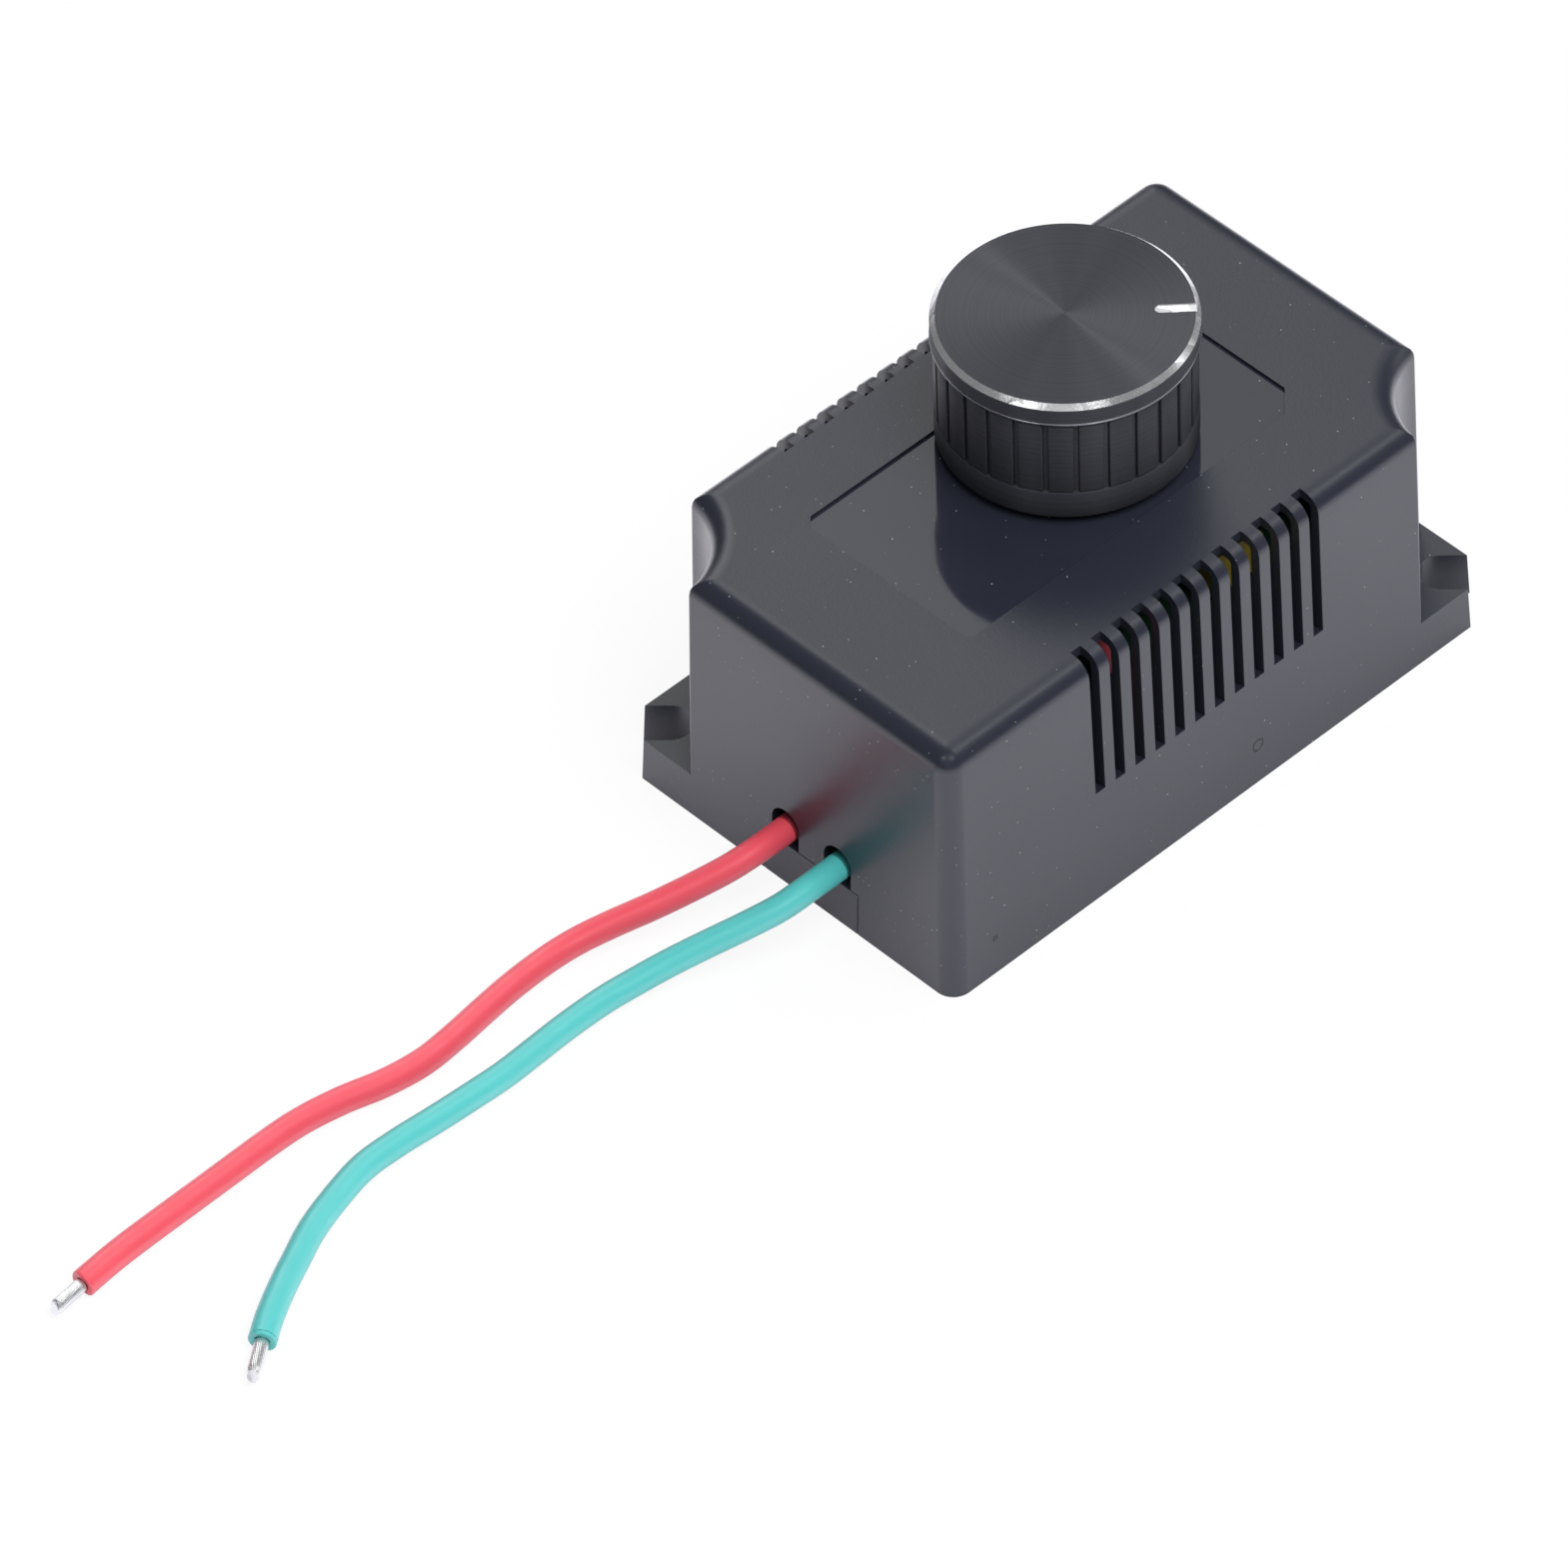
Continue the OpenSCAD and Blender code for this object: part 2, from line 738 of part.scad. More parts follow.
module circuit_board() {
    notch_w = lead_d + 2 * riser_gap;
    color("#2f5d3a")
    translate([0, 0, board_z])
    difference() {
        rounded_slab(
            2 * (half_l(board_top) - wall - board_gap), 2 * (half_w(board_top) - wall - board_gap),
            inner_r, board_t
        );
        at_ears() translate([0, 0, -over])
            cylinder(r = ear_cut_r + wall + board_gap, h = board_t + 2 * over);
        translate([riser_x, riser_y, -over]) {
            cylinder(d = notch_w, h = board_t + 2 * over);
            translate([-notch_w / 2, -half_w0, 0]) cube([notch_w, half_w0, board_t + 2 * over]);
        }
    }
}

module triac_package() {
    color("#1f2022")
    translate([triac_x - triac_w / 2, triac_y - triac_tab_t - triac_body_t,
               board_z - triac_leg - triac_body_h])
        cube([triac_w, triac_body_t, triac_body_h]);
}

module triac_metal() {
    body_z = board_z - triac_leg - triac_body_h;
    color("#c2c4c6") {
        difference() {
            translate([triac_x - triac_w / 2, triac_y - triac_tab_t, body_z - triac_tab_h])
                cube([triac_w, triac_tab_t, triac_body_h + triac_tab_h]);
            translate([triac_x, triac_y + over, body_z - triac_tab_h + triac_hole_in])
                rotate([90, 0, 0]) cylinder(r = m3_hole_r, h = triac_tab_t + 2 * over);
        }
        for (i = [-1:1])
            translate([
                triac_x + i * triac_leg_pitch - triac_leg_w / 2,
                triac_y - triac_tab_t - triac_body_t / 2,
                board_z - triac_leg
            ])
                cube([triac_leg_w, triac_leg_t, triac_leg]);
    }
}

module heat_sink() {
    fin_step = (sink_l - sink_fin_t) / (sink_fins - 1);
    hole_z = board_z - triac_leg - triac_body_h - triac_tab_h + triac_hole_in;
    color("#d0d2d4")
    difference() {
        translate([triac_x - sink_l / 2, triac_y, board_z - sink_h]) {
            cube([sink_l, sink_t, sink_h]);
            for (i = [0:sink_fins - 1])
                translate([i * fin_step, 0, 0]) cube([sink_fin_t, sink_t + sink_fin, sink_h]);
        }
        translate([triac_x, triac_y + sink_t + over, hole_z])
            rotate([90, 0, 0]) cylinder(r = m3_r, h = sink_t + 2 * over);
    }
}

module heat_sink_screw() {
    hole_z = board_z - triac_leg - triac_body_h - triac_tab_h + triac_hole_in;
    color("#b7babd")
    translate([triac_x, triac_y - triac_tab_t, hole_z])
    rotate([90, 0, 0]) {
        translate([0, 0, -m3_l]) cylinder(r = m3_r - fit_gap, h = m3_l);
        cylinder(r = m3_head_r, h = m3_head_h);
    }
}

module film_capacitor() {
    color("#5f6470")
    translate([film_cap_x - film_cap_l / 2, film_cap_y - film_cap_w / 2,
               board_z - film_cap_stand - film_cap_h])
        cube([film_cap_l, film_cap_w, film_cap_h]);
}

module film_capacitor_pins() {
    share_in = (film_cap_l - film_cap_pin_pitch) / 2;
    color("#d5d7d9")
    for (x = [film_cap_x - film_cap_l / 2 + share_in, film_cap_x + film_cap_l / 2 - share_in])
        translate([x, film_cap_y, board_z - film_cap_stand])
            cylinder(r = pin_r, h = film_cap_stand);
}

module timing_capacitor() {
    color("#9c3b32")
    translate([
        timing_cap_x - timing_cap_size[0] / 2, timing_cap_y - timing_cap_size[1] / 2,
        board_z - timing_cap_size[2]
    ])
        cube(timing_cap_size);
}

// A dipped capacitor that stands on two wires, near the vents
module yellow_capacitor() {
    color("#d8c23a")
    translate([
        yellow_cap_x, yellow_cap_y + yellow_cap_t / 2,
        board_top + yellow_cap_stand + yellow_cap_h / 2
    ])
        rotate([90, 0, 0])
            rounded_slab(yellow_cap_w, yellow_cap_h, yellow_cap_r, yellow_cap_t);
}

module yellow_capacitor_pins() {
    color("#d5d7d9")
    for (sx = [-1, 1])
        translate([yellow_cap_x + sx * yellow_cap_pin_pitch / 2, yellow_cap_y, board_top])
            cylinder(r = wire_r, h = yellow_cap_stand);
}

// A part with a wire at each end, lying under the board
module axial_body(l, r) {
    translate([-l / 2, 0, 0]) rotate([0, 90, 0]) cylinder(r = r, h = l);
}

module axial_wires(l, r, span) {
    for (sx = [-1, 1]) {
        translate([sx > 0 ? l / 2 : -span / 2, 0, 0])
            rotate([0, 90, 0]) cylinder(r = wire_r, h = (span - l) / 2);
        translate([sx * span / 2, 0, 0]) sphere(r = wire_r);
        translate([sx * span / 2, 0, 0]) cylinder(r = wire_r, h = r);
    }
}

module resistors() {
    color("#c8b48a")
    for (y = resistor_ys)
        translate([resistor_x, y, board_z - resistor_r]) axial_body(resistor_l, resistor_r);
}

module resistor_wires() {
    color("#d5d7d9")
    for (y = resistor_ys)
        translate([resistor_x, y, board_z - resistor_r])
            axial_wires(resistor_l, resistor_r, resistor_span);
}

module diac() {
    color("#3f6fae")
    translate([diac_x, diac_y, board_z - diac_r]) axial_body(diac_l, diac_r);
}

module diac_wires() {
    color("#d5d7d9")
    translate([diac_x, diac_y, board_z - diac_r]) axial_wires(diac_l, diac_r, diac_span);
}

// Domes of solder on the far face of the board, over each wire that ends in it
module solder_joints() {
    under_spots = concat(
        [for (i = [-1:1]) [triac_x + i * triac_leg_pitch, triac_y - triac_tab_t - triac_body_t / 2]],
        [for (y = resistor_ys, sx = [-1, 1]) [resistor_x + sx * resistor_span / 2, y]],
        [for (sx = [-1, 1]) [film_cap_x + sx * film_cap_pin_pitch / 2, film_cap_y]],
        [[green_inner_x, lead_ys[1]]]
    );
    clear_r = pot_r + solder_r;
    color("#c3c6c8")
    for (spot = under_spots)
        if (norm(spot - [knob_x, knob_y]) > clear_r)
            translate([spot[0], spot[1], board_top])
                cylinder(r1 = solder_r, r2 = solder_r / 3, h = solder_h);
}

function unit(v) = v / norm(v);
function tangent(pts, i) = unit(pts[min(i + 1, len(pts) - 1)] - pts[max(i - 1, 0)]);
function square_to(v, t) = unit(v - (v * t) * t);
// The direction of each ring's first corner, carried on from ring to ring
function carried(pts, side, i = 0) =
    i >= len(pts) ? [] :
    let (s = square_to(side, tangent(pts, i)))
    concat([s], carried(pts, s, i + 1));

// A tube along points, closed at both ends
module tube(pts, r) {
    n = tube_sides;
    last = len(pts) - 1;
    sides = carried(pts, [0, 0, 1]);
    corners = [
        for (i = [0:last]) let (t = tangent(pts, i), u = sides[i], v = cross(t, u))
            for (k = [0:n - 1]) pts[i] + r * (cos(360 * k / n) * u + sin(360 * k / n) * v)
    ];
    skin = [
        for (i = [0:last - 1], k = [0:n - 1])
            let (a = i * n + k, b = i * n + (k + 1) % n)
            each [[a, a + n, b], [b, a + n, b + n]]
    ];
    polyhedron(corners, concat(
        [[for (k = [0:n - 1]) k]],
        skin,
        [[for (k = [n - 1:-1:0]) last * n + k]]
    ));
}

// Points on a smooth curve through the given ones
function curve_at(a, b, c, d, t) =
    0.5 * (2 * b + (c - a) * t + (2 * a - 5 * b + 4 * c - d) * t * t
        + (3 * b - a - 3 * c + d) * t * t * t);
function smooth(pts, steps) = concat(
    [
        for (i = [0:len(pts) - 2], j = [0:steps - 1])
            curve_at(
                pts[max(i - 1, 0)], pts[i], pts[i + 1], pts[min(i + 2, len(pts) - 1)], j / steps
            )
    ],
    [pts[len(pts) - 1]]
);

// The half turn over the board, and the short drop onto it
hook_points = concat(
    [for (a = [22.5:22.5:180]) [riser_x, riser_y + hook_r - hook_r * cos(a), hook_z + hook_r * sin(a)]],
    [[riser_x, riser_y + 2 * hook_r, (hook_z + board_top) / 2], [riser_x, riser_y + 2 * hook_r, board_top]]
);

module red_lead_inner() {
    color("#d8404f") tube(concat(smooth(red_inner_route, 3), hook_points), lead_d / 2);
}

module green_lead_inner() {
    color("#3fbfae") tube(smooth(green_inner_route, 3), lead_d / 2);
}

module red_wire() {
    color("#d8404f") tube(red_points, lead_d / 2);
}

module green_wire() {
    color("#3fbfae") tube(green_points, lead_d / 2);
}

// A bare stranded end, in line with the last stretch of its lead
module bare_end(pts) {
    last = len(pts) - 1;
    way = pts[last] - pts[last - 1];
    color("#d9dcdc")
    translate(pts[last])
    rotate([0, 0, atan2(way[1], way[0])])
    rotate([0, 90, 0]) cylinder(d = core_d, h = core_l);
}

module red_conductor() {
    bare_end(red_points);
}

module green_conductor() {
    bare_end(green_points);
}

upper_case();
base_cover();
cover_screws();
knob_shell();
knob_core();
pot_shaft();
pot_rotor();
pot_wiper();
pot_bushing();
pot_track();
pot_housing();
pot_terminals();
pot_washer();
pot_nut();
circuit_board();
triac_package();
triac_metal();
heat_sink();
heat_sink_screw();
film_capacitor();
film_capacitor_pins();
timing_capacitor();
yellow_capacitor();
yellow_capacitor_pins();
resistors();
resistor_wires();
diac();
diac_wires();
solder_joints();
red_lead_inner();
green_lead_inner();
red_wire();
green_wire();
red_conductor();
green_conductor();
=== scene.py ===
"""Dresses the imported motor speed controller: a moulded case, a turned knob and two stripped leads."""

import math

import bmesh
import bpy
from mathutils import Matrix, Vector
from mathutils.geometry import tessellate_polygon


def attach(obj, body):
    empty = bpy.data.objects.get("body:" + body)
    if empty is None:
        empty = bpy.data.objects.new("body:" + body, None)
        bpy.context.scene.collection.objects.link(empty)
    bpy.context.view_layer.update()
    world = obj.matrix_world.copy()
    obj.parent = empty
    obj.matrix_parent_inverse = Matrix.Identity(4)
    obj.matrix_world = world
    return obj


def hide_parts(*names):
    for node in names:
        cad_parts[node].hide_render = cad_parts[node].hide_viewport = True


bl_info = {
    "name": "Motor speed controller",
    "version": (1, 0, 0),
    "blender": (4, 5, 0),
    "location": "View3D > Sidebar > Controller",
    "description": "Builds the case, knob, leads and stage of a motor speed controller",
    "category": "Object",
}

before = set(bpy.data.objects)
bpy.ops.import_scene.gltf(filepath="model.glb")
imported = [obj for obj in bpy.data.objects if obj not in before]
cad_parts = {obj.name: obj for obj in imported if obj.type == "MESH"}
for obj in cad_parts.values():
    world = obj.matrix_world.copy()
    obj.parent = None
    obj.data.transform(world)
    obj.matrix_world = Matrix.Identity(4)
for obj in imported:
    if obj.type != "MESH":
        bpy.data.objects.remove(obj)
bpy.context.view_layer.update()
MM = 0.001


def linear(hex_text):
    """An sRGB hex value as a linear colour."""
    channels = [int(hex_text[i : i + 2], 16) / 255 for i in (1, 3, 5)]
    return tuple(c / 12.92 if c <= 0.04045 else ((c + 0.055) / 1.055) ** 2.4 for c in channels)


def place(name, description, millimetres, **limits):
    """A place along an axis, which may be negative."""
    return bpy.props.FloatProperty(
        name=name, description=description, default=millimetres * MM, subtype="DISTANCE",
        precision=5, **limits,
    )


def size(name, description, millimetres):
    """A length that a user may change."""
    return place(name, description, millimetres, min=0.0)


def angle(name, description, degrees):
    return bpy.props.FloatProperty(
        name=name, description=description, default=math.radians(degrees), subtype="ANGLE"
    )


def number(name, description, default):
    return bpy.props.IntProperty(name=name, description=description, default=default, min=1)


def paint(name, description, hex_text):
    return bpy.props.FloatVectorProperty(
        name=name, description=description, default=linear(hex_text), size=3, min=0.0, max=1.0,
        subtype="COLOR",
    )


class CaseSizes(bpy.types.PropertyGroup):
    """The moulded case."""

    length: size("Length", "Length of the case at its foot", 85.4)
    width: size("Width", "Width of the case at its foot", 53.2)
    height: size("Height", "Height of the case", 35)
    draft: angle("Draft", "Lean of the four sides", 2.4)
    corner: size("Corner radius", "Radius of the two plain upright corners", 2.4)
    edge: size("Top rounding", "Radius of the rounding round the top", 2.2)
    wall: size("Wall", "Thickness of the sides", 2.1)
    thin_wall: size("Thin wall", "Thickness of the sides above the inner ledge", 1.3)
    ledge: size("Ledge height", "Height at which the wall gets thinner", 28.9)
    cut: size("Ear cut radius", "Radius of the round cut above each ear", 11.3)
    ear: size("Ear height", "Height of the mounting ears", 6)
    slot: size("Ear slot width", "Width of the open slot in each ear", 5.4)
    slot_in: size("Ear slot depth", "From the corner to the centre of the slot's end", 6)
    cusp: size("Cusp radius", "Rounding where a round cut meets a side", 0.5)
    vents: number("Vents", "Slots in each side", 12)
    vent_pitch: size("Vent pitch", "Distance from slot to slot", 3.1)
    vent_width: size("Vent width", "Width of each slot", 1.5)
    vent_foot: size("Vent foot", "Height at which the slots begin", 15.6)
    vent_reach: size("Vent reach", "How far the slots reach in over the top", 2.83)
    vent_x: place("Vent place", "Place of the middle of both rows along X", -2)
    label_l: size("Recess length", "Length of the shallow recess in the top", 52)
    label_w: size("Recess width", "Width of the recess", 26)
    label_depth: size("Recess depth", "Depth of the recess", 0.4)
    plastic: paint("Plastic", "Colour of the moulded case", "#272a35")
    dust: paint("Dust", "Colour of the dust on it", "#a9abad")


class KnobSizes(bpy.types.PropertyGroup):
    """The turned and knurled knob."""

    x: place("X", "Place of the knob's axis", 4.5)
    y: place("Y", "Place of the knob's axis", 2.5)
    z: size("Foot", "Height of the knob's foot above the floor", 35.8)
    radius: size("Radius", "Outer radius", 15)
    height: size("Height", "Height from foot to top", 17)
    wall: size("Wall", "Thickness of the shell", 1.5)
    flutes: number("Flutes", "Flat pads round the grip", 27)
    flute_turn: angle("Flute turn", "Direction of the first groove", -130.5)
    pad: size("Pad distance", "Distance of the flat pads from the axis", 14.6)
    groove: size("Groove width", "Width of the groove between two pads", 0.65)
    groove_depth: size("Groove depth", "Depth of the groove below the pads", 0.35)
    foot_band: size("Foot band", "Height of the plain band at the foot", 3.7)
    foot_step: size("Foot step", "How far the foot's band stands out past the pads", 0.1)
    top_band: size("Top band", "Height of the plain band at the top", 2.8)
    pointer: angle("Pointer", "Direction of the pointer line", -42)
    pointer_in: size("Pointer start", "Distance of the line's inner end from the axis", 9.8)
    pointer_width: size("Pointer width", "Width of the line", 1.25)
    pointer_depth: size("Pointer depth", "Depth of the line", 0.1)
    anodised: paint("Anodising", "Colour of the black anodised aluminium", "#3e3f46")
    bare: paint("Bare aluminium", "Colour of the diamond-cut rim and the line", "#e9eaec")


class LeadSizes(bpy.types.PropertyGroup):
    """The two free leads."""

    diameter: size("Diameter", "Diameter of the insulation", 3.2)
    core: size("Core", "Diameter of the bare stranded end", 1.7)
    bare: size("Bare end", "Length of the bare end", 5.4)
    strands: number("Strands", "Outer strands", 18)
    red: paint("Red", "Colour of the red insulation", "#ee5363")
    green: paint("Green", "Colour of the green insulation", "#56c5c3")
    tin: paint("Tin", "Colour of the tinned strands", "#dadcdc")


SENSOR = 36
PHOTO_WIDTH = 1569
FOCAL_PIXELS = 12954


class StageSettings(bpy.types.PropertyGroup):
    """Camera and floor."""

    azimuth: angle("Azimuth", "Direction of the camera round the object", -42.405)
    elevation: angle("Elevation", "Height of the camera above the horizon", 45.649)
    roll: angle("Roll", "Turn of the camera about its own axis", -2.2887)
    distance: size("Distance", "Distance of the camera", 1450.2)
    side: place("Sideways", "Shift of the camera to its own right", -30.738)
    up: place("Up", "Shift of the camera upwards", -11.083)
    lens: bpy.props.FloatProperty(
        name="Lens", description="Focal length in millimetres on a 36 mm wide sensor",
        default=FOCAL_PIXELS * SENSOR / PHOTO_WIDTH,
    )
    floor: paint("Floor", "Colour of the floor", "#f4f4f4")


def add_node(tree, kind, inputs=None, **settings):
    """Adds a node with its settings; an input is a value or another node's output."""
    made = tree.nodes.new(kind)
    for key, value in settings.items():
        setattr(made, key, value)
    for key, value in (inputs or {}).items():
        if isinstance(value, bpy.types.NodeSocket):
            tree.links.new(value, made.inputs[key])
        else:
            made.inputs[key].default_value = value
    return made


def output(tree, kind, inputs=None, pick=0, **settings):
    """One output of a new node."""
    return add_node(tree, kind, inputs, **settings).outputs[pick]


def maths(tree, operation, first, second=0.0):
    return output(tree, "ShaderNodeMath", {0: first, 1: second}, operation=operation)


def vectors(tree, operation, first, second=(0, 0, 0), pick=0):
    inputs = {0: first, 1: second}
    return output(tree, "ShaderNodeVectorMath", inputs, pick, operation=operation)


def scaled(tree, vector, factor):
    return output(tree, "ShaderNodeVectorMath", {0: vector, 3: factor}, operation="SCALE")


def rgba(colour):
    return (*colour[:3], 1.0)


def start_material(name):
    """A new material, its node tree and, in it, the place of each point of the piece."""
    made = bpy.data.materials.new(name)
    made.use_nodes = True
    tree = made.node_tree
    tree.nodes.clear()
    return made, tree, output(tree, "ShaderNodeTexCoord", pick="Object")


def finish_material(made, **sockets):
    """Ends a material. Keys are the shader's sockets, with _ for a space."""
    inputs = {key.replace("_", " "): value for key, value in sockets.items()}
    shader = output(made.node_tree, "ShaderNodeBsdfPrincipled", inputs)
    add_node(made.node_tree, "ShaderNodeOutputMaterial", {"Surface": shader})
    return made


def noise(tree, vector, millimetres, detail=2.0):
    """Noise whose grains are about that many millimetres wide."""
    inputs = {"Vector": vector, "Scale": 1 / (millimetres * MM), "Detail": detail}
    return output(tree, "ShaderNodeTexNoise", inputs, "Fac")


def spread(tree, value, low, high, out_low=0.0, out_high=1.0):
    """value between low and high taken to out_low and out_high."""
    return output(tree, "ShaderNodeMapRange", {
        "Value": value, "From Min": low, "From Max": high, "To Min": out_low, "To Max": out_high,
    })


# Nearly all of a noise lies between these two values.
NOISE_LOW, NOISE_HIGH = 0.3, 0.7


def uneven(tree, pattern, low, high):
    """Values from low to high that follow a noise."""
    return spread(tree, pattern, NOISE_LOW, NOISE_HIGH, low, high)


def bell(tree, value, centre, width):
    """1 where the value is at the centre, falling off smoothly on either side."""
    off = maths(tree, "DIVIDE", maths(tree, "SUBTRACT", value, centre), width)
    square = maths(tree, "MULTIPLY", off, off)
    return maths(tree, "EXPONENT", maths(tree, "MULTIPLY", square, -1.0))


def bump(tree, height, strength, millimetres, over=None):
    """Where the surface faces once a height of up to that many millimetres is on it."""
    inputs = {"Height": height, "Strength": strength, "Distance": millimetres * MM}
    if over is not None:
        inputs["Normal"] = over
    return output(tree, "ShaderNodeBump", inputs)


def blend_colours(tree, share, first, second):
    """The first colour with that share of the second. 6, 7 and 2 are a Mix node's colours."""
    inputs = {"Factor": share, 6: rgba(first), 7: rgba(second)}
    return output(tree, "ShaderNodeMix", inputs, 2, data_type="RGBA")


def dusted(tree, here, sizes):
    """The case's colour with specks of dust on it, and where they are."""
    cells = add_node(tree, "ShaderNodeTexVoronoi", {"Vector": here, "Scale": 1 / (0.9 * MM)})
    chosen = output(tree, "ShaderNodeSeparateColor", {0: cells.outputs["Color"]})
    # A speck is up to 0.2 mm wide, and about every second cell holds one.
    reach = spread(tree, chosen, 0.55, 1.0, 0.0, 0.105)
    speck = maths(tree, "LESS_THAN", cells.outputs["Distance"], reach)
    share = maths(tree, "MULTIPLY", speck, 0.85)
    return blend_colours(tree, share, sizes.plastic, sizes.dust), speck


# The gate's ring and a pin's dot on the near side, in millimetres: x, z, radius and line.
MOULD_MARKS = ((5.0, 5.6, 0.75, 0.16), (-36.0, 5.35, 0.25, 0.2))


def case_abs(sizes):
    """Injection-moulded ABS: dark, half gloss, with an etched grain, two mould marks and dust."""
    made, tree, here = start_material("Moulded ABS")
    # The grain of an etched tool is about 0.1 mm; drawn at 0.3 mm so that it shows.
    grain = bump(tree, noise(tree, here, 0.3, 3.0), 0.4, 0.03)
    # Melt flow leaves soft clouds a few centimetres wide in the gloss.
    clouds = uneven(tree, noise(tree, here, 22, 1.0), 0.27, 0.33)
    base, speck = dusted(tree, here, sizes)
    rough = maths(tree, "ADD", clouds, maths(tree, "MULTIPLY", speck, 0.4))
    marks = 0.0
    for x, z, radius, width in MOULD_MARKS:
        centre = (x * MM, 0.25 * MM - sizes.width / 2, z * MM)
        away = vectors(tree, "DISTANCE", here, centre, "Value")
        off = maths(tree, "ABSOLUTE", maths(tree, "SUBTRACT", away, radius * MM))
        marks = maths(tree, "ADD", spread(tree, off, 0.0, width * MM, -1.0, 0.0), marks)
    marked = bump(tree, marks, 1.0, 0.3, grain)
    return finish_material(made, Base_Color=base, Roughness=rough, Normal=marked, IOR=1.53)


def polished_abs(sizes):
    """The same ABS where the tool was polished: nearly a mirror, with no grain."""
    made, tree, here = start_material("Polished ABS")
    haze = uneven(tree, noise(tree, here, 9), 0.05, 0.09)
    ripple = bump(tree, noise(tree, here, 6, 1.0), 0.15, 0.02)
    base, _ = dusted(tree, here, sizes)
    return finish_material(made, Base_Color=base, Roughness=haze, Normal=ripple, IOR=1.53)


def finish_anodised(made, colour, share, along, **sockets):
    """Ends an anodised material, lighter and darker by the share in a tool's lines."""
    tree = made.node_tree
    # The lines are about 0.1 mm wide; drawn at 0.2 mm so that they show.
    inputs = {"W": along, "Scale": 1 / (0.2 * MM), "Detail": 2.0}
    lines = output(tree, "ShaderNodeTexNoise", inputs, "Fac", noise_dimensions="1D")
    return finish_material(
        made, Base_Color=scaled(tree, colour[:3], uneven(tree, lines, 1 - share, 1 + share)),
        Metallic=0.4, Anisotropic=1.0, Normal=bump(tree, lines, 0.15, 0.01), **sockets,
    )


def anodised_face(knob):
    """Black anodised aluminium with a turned face: fine rings that pull light into a wedge."""
    made, tree, here = start_material("Turned anodised aluminium")
    from_axis = vectors(tree, "SUBTRACT", here, (knob.x, knob.y, 0))
    level = vectors(tree, "MULTIPLY", from_axis, (1, 1, 0))
    return finish_anodised(
        made, knob.anodised, 0.14, vectors(tree, "LENGTH", level, pick="Value"), Roughness=0.37,
        Tangent=vectors(tree, "NORMALIZE", level), Specular_IOR_Level=0.8,
    )


def anodised_side(knob):
    """The same anodising on the knob's side: satin, with faint turning lines round it."""
    made, tree, here = start_material("Satin anodised aluminium")
    return finish_anodised(
        made, knob.anodised, 0.2, output(tree, "ShaderNodeSeparateXYZ", {0: here}, "Z"),
        Roughness=uneven(tree, noise(tree, here, 3), 0.4, 0.5),
        Tangent=output(tree, "ShaderNodeCombineXYZ", {"Z": 1.0}),
    )


def diamond_cut(knob):
    """Bare aluminium cut with a diamond after anodising: bright, with short chatter facets."""
    made, tree, here = start_material("Diamond-cut aluminium")
    # Chatter leaves facets about 2 mm long, each tilted by a few degrees.
    inputs = {"Vector": here, "Scale": 1 / (2.0 * MM)}
    cells = output(tree, "ShaderNodeTexVoronoi", inputs, "Color")
    tilt = scaled(tree, vectors(tree, "SUBTRACT", cells, (0.5, 0.5, 0.5)), 0.12)
    upright = output(tree, "ShaderNodeNewGeometry", pick="Normal")
    facing = vectors(tree, "NORMALIZE", vectors(tree, "ADD", upright, tilt))
    scratches = noise(tree, here, 0.35, 3.0)
    # The finest scratches scatter part of the light, so that the cut stays light all round.
    return finish_material(
        made, Base_Color=rgba(knob.bare), Metallic=0.83,
        Roughness=spread(tree, scratches, 0.35, 0.65, 0.16, 0.26),
        Normal=bump(tree, scratches, 0.22, 0.03, facing),
    )


def soft_pvc(name, colour):
    """Extruded PVC insulation: full colour, a wide soft gloss and faint drag along it."""
    made, tree, here = start_material(name)
    tone = uneven(tree, noise(tree, here, 7), 0.0, 0.12)
    return finish_material(
        made, Base_Color=blend_colours(tree, tone, colour, [c * 0.8 for c in colour]),
        Roughness=uneven(tree, noise(tree, here, 2.5), 0.36, 0.46), IOR=1.53,
        Normal=bump(tree, noise(tree, here, 1.1), 0.12, 0.05), Specular_IOR_Level=0.9,
        Subsurface_Weight=0.12, Subsurface_Radius=(1.2 * MM, 0.6 * MM, 0.6 * MM),
    )


def bright_metal(name, colour, rough, grain_mm, bump_mm=0.02, metallic=1.0):
    """Plain metal, drawn, plated or tinned, with a soft unevenness of its own grain."""
    made, tree, here = start_material(name)
    grain = noise(tree, here, grain_mm)
    return finish_material(
        made, Base_Color=rgba(colour), Roughness=uneven(tree, grain, rough - 0.05, rough + 0.07),
        Metallic=metallic, Normal=bump(tree, grain, 0.3, bump_mm),
    )


def plain_body(name, colour, rough, grain_mm, contrast):
    """A small moulded, dipped or laminated part, mottled at the size of its own grain."""
    made, tree, here = start_material(name)
    grain = noise(tree, here, grain_mm, 3.0)
    darker = [c * (1 - contrast) for c in colour]
    return finish_material(
        made, Base_Color=blend_colours(tree, uneven(tree, grain, 0.0, 1.0), colour, darker),
        Roughness=uneven(tree, grain, rough - 0.04, rough + 0.04),
        Normal=bump(tree, grain, 0.2, 0.03), IOR=1.5,
    )


def put_in_scene(name, data):
    made = bpy.data.objects.new(name, data)
    bpy.context.scene.collection.objects.link(made)
    return made


def mesh_object(name, vertices, faces, materials=()):
    data = bpy.data.meshes.new(name)
    data.from_pydata(vertices, [], faces)
    for made in materials:
        data.materials.append(made)
    return put_in_scene(name, data)


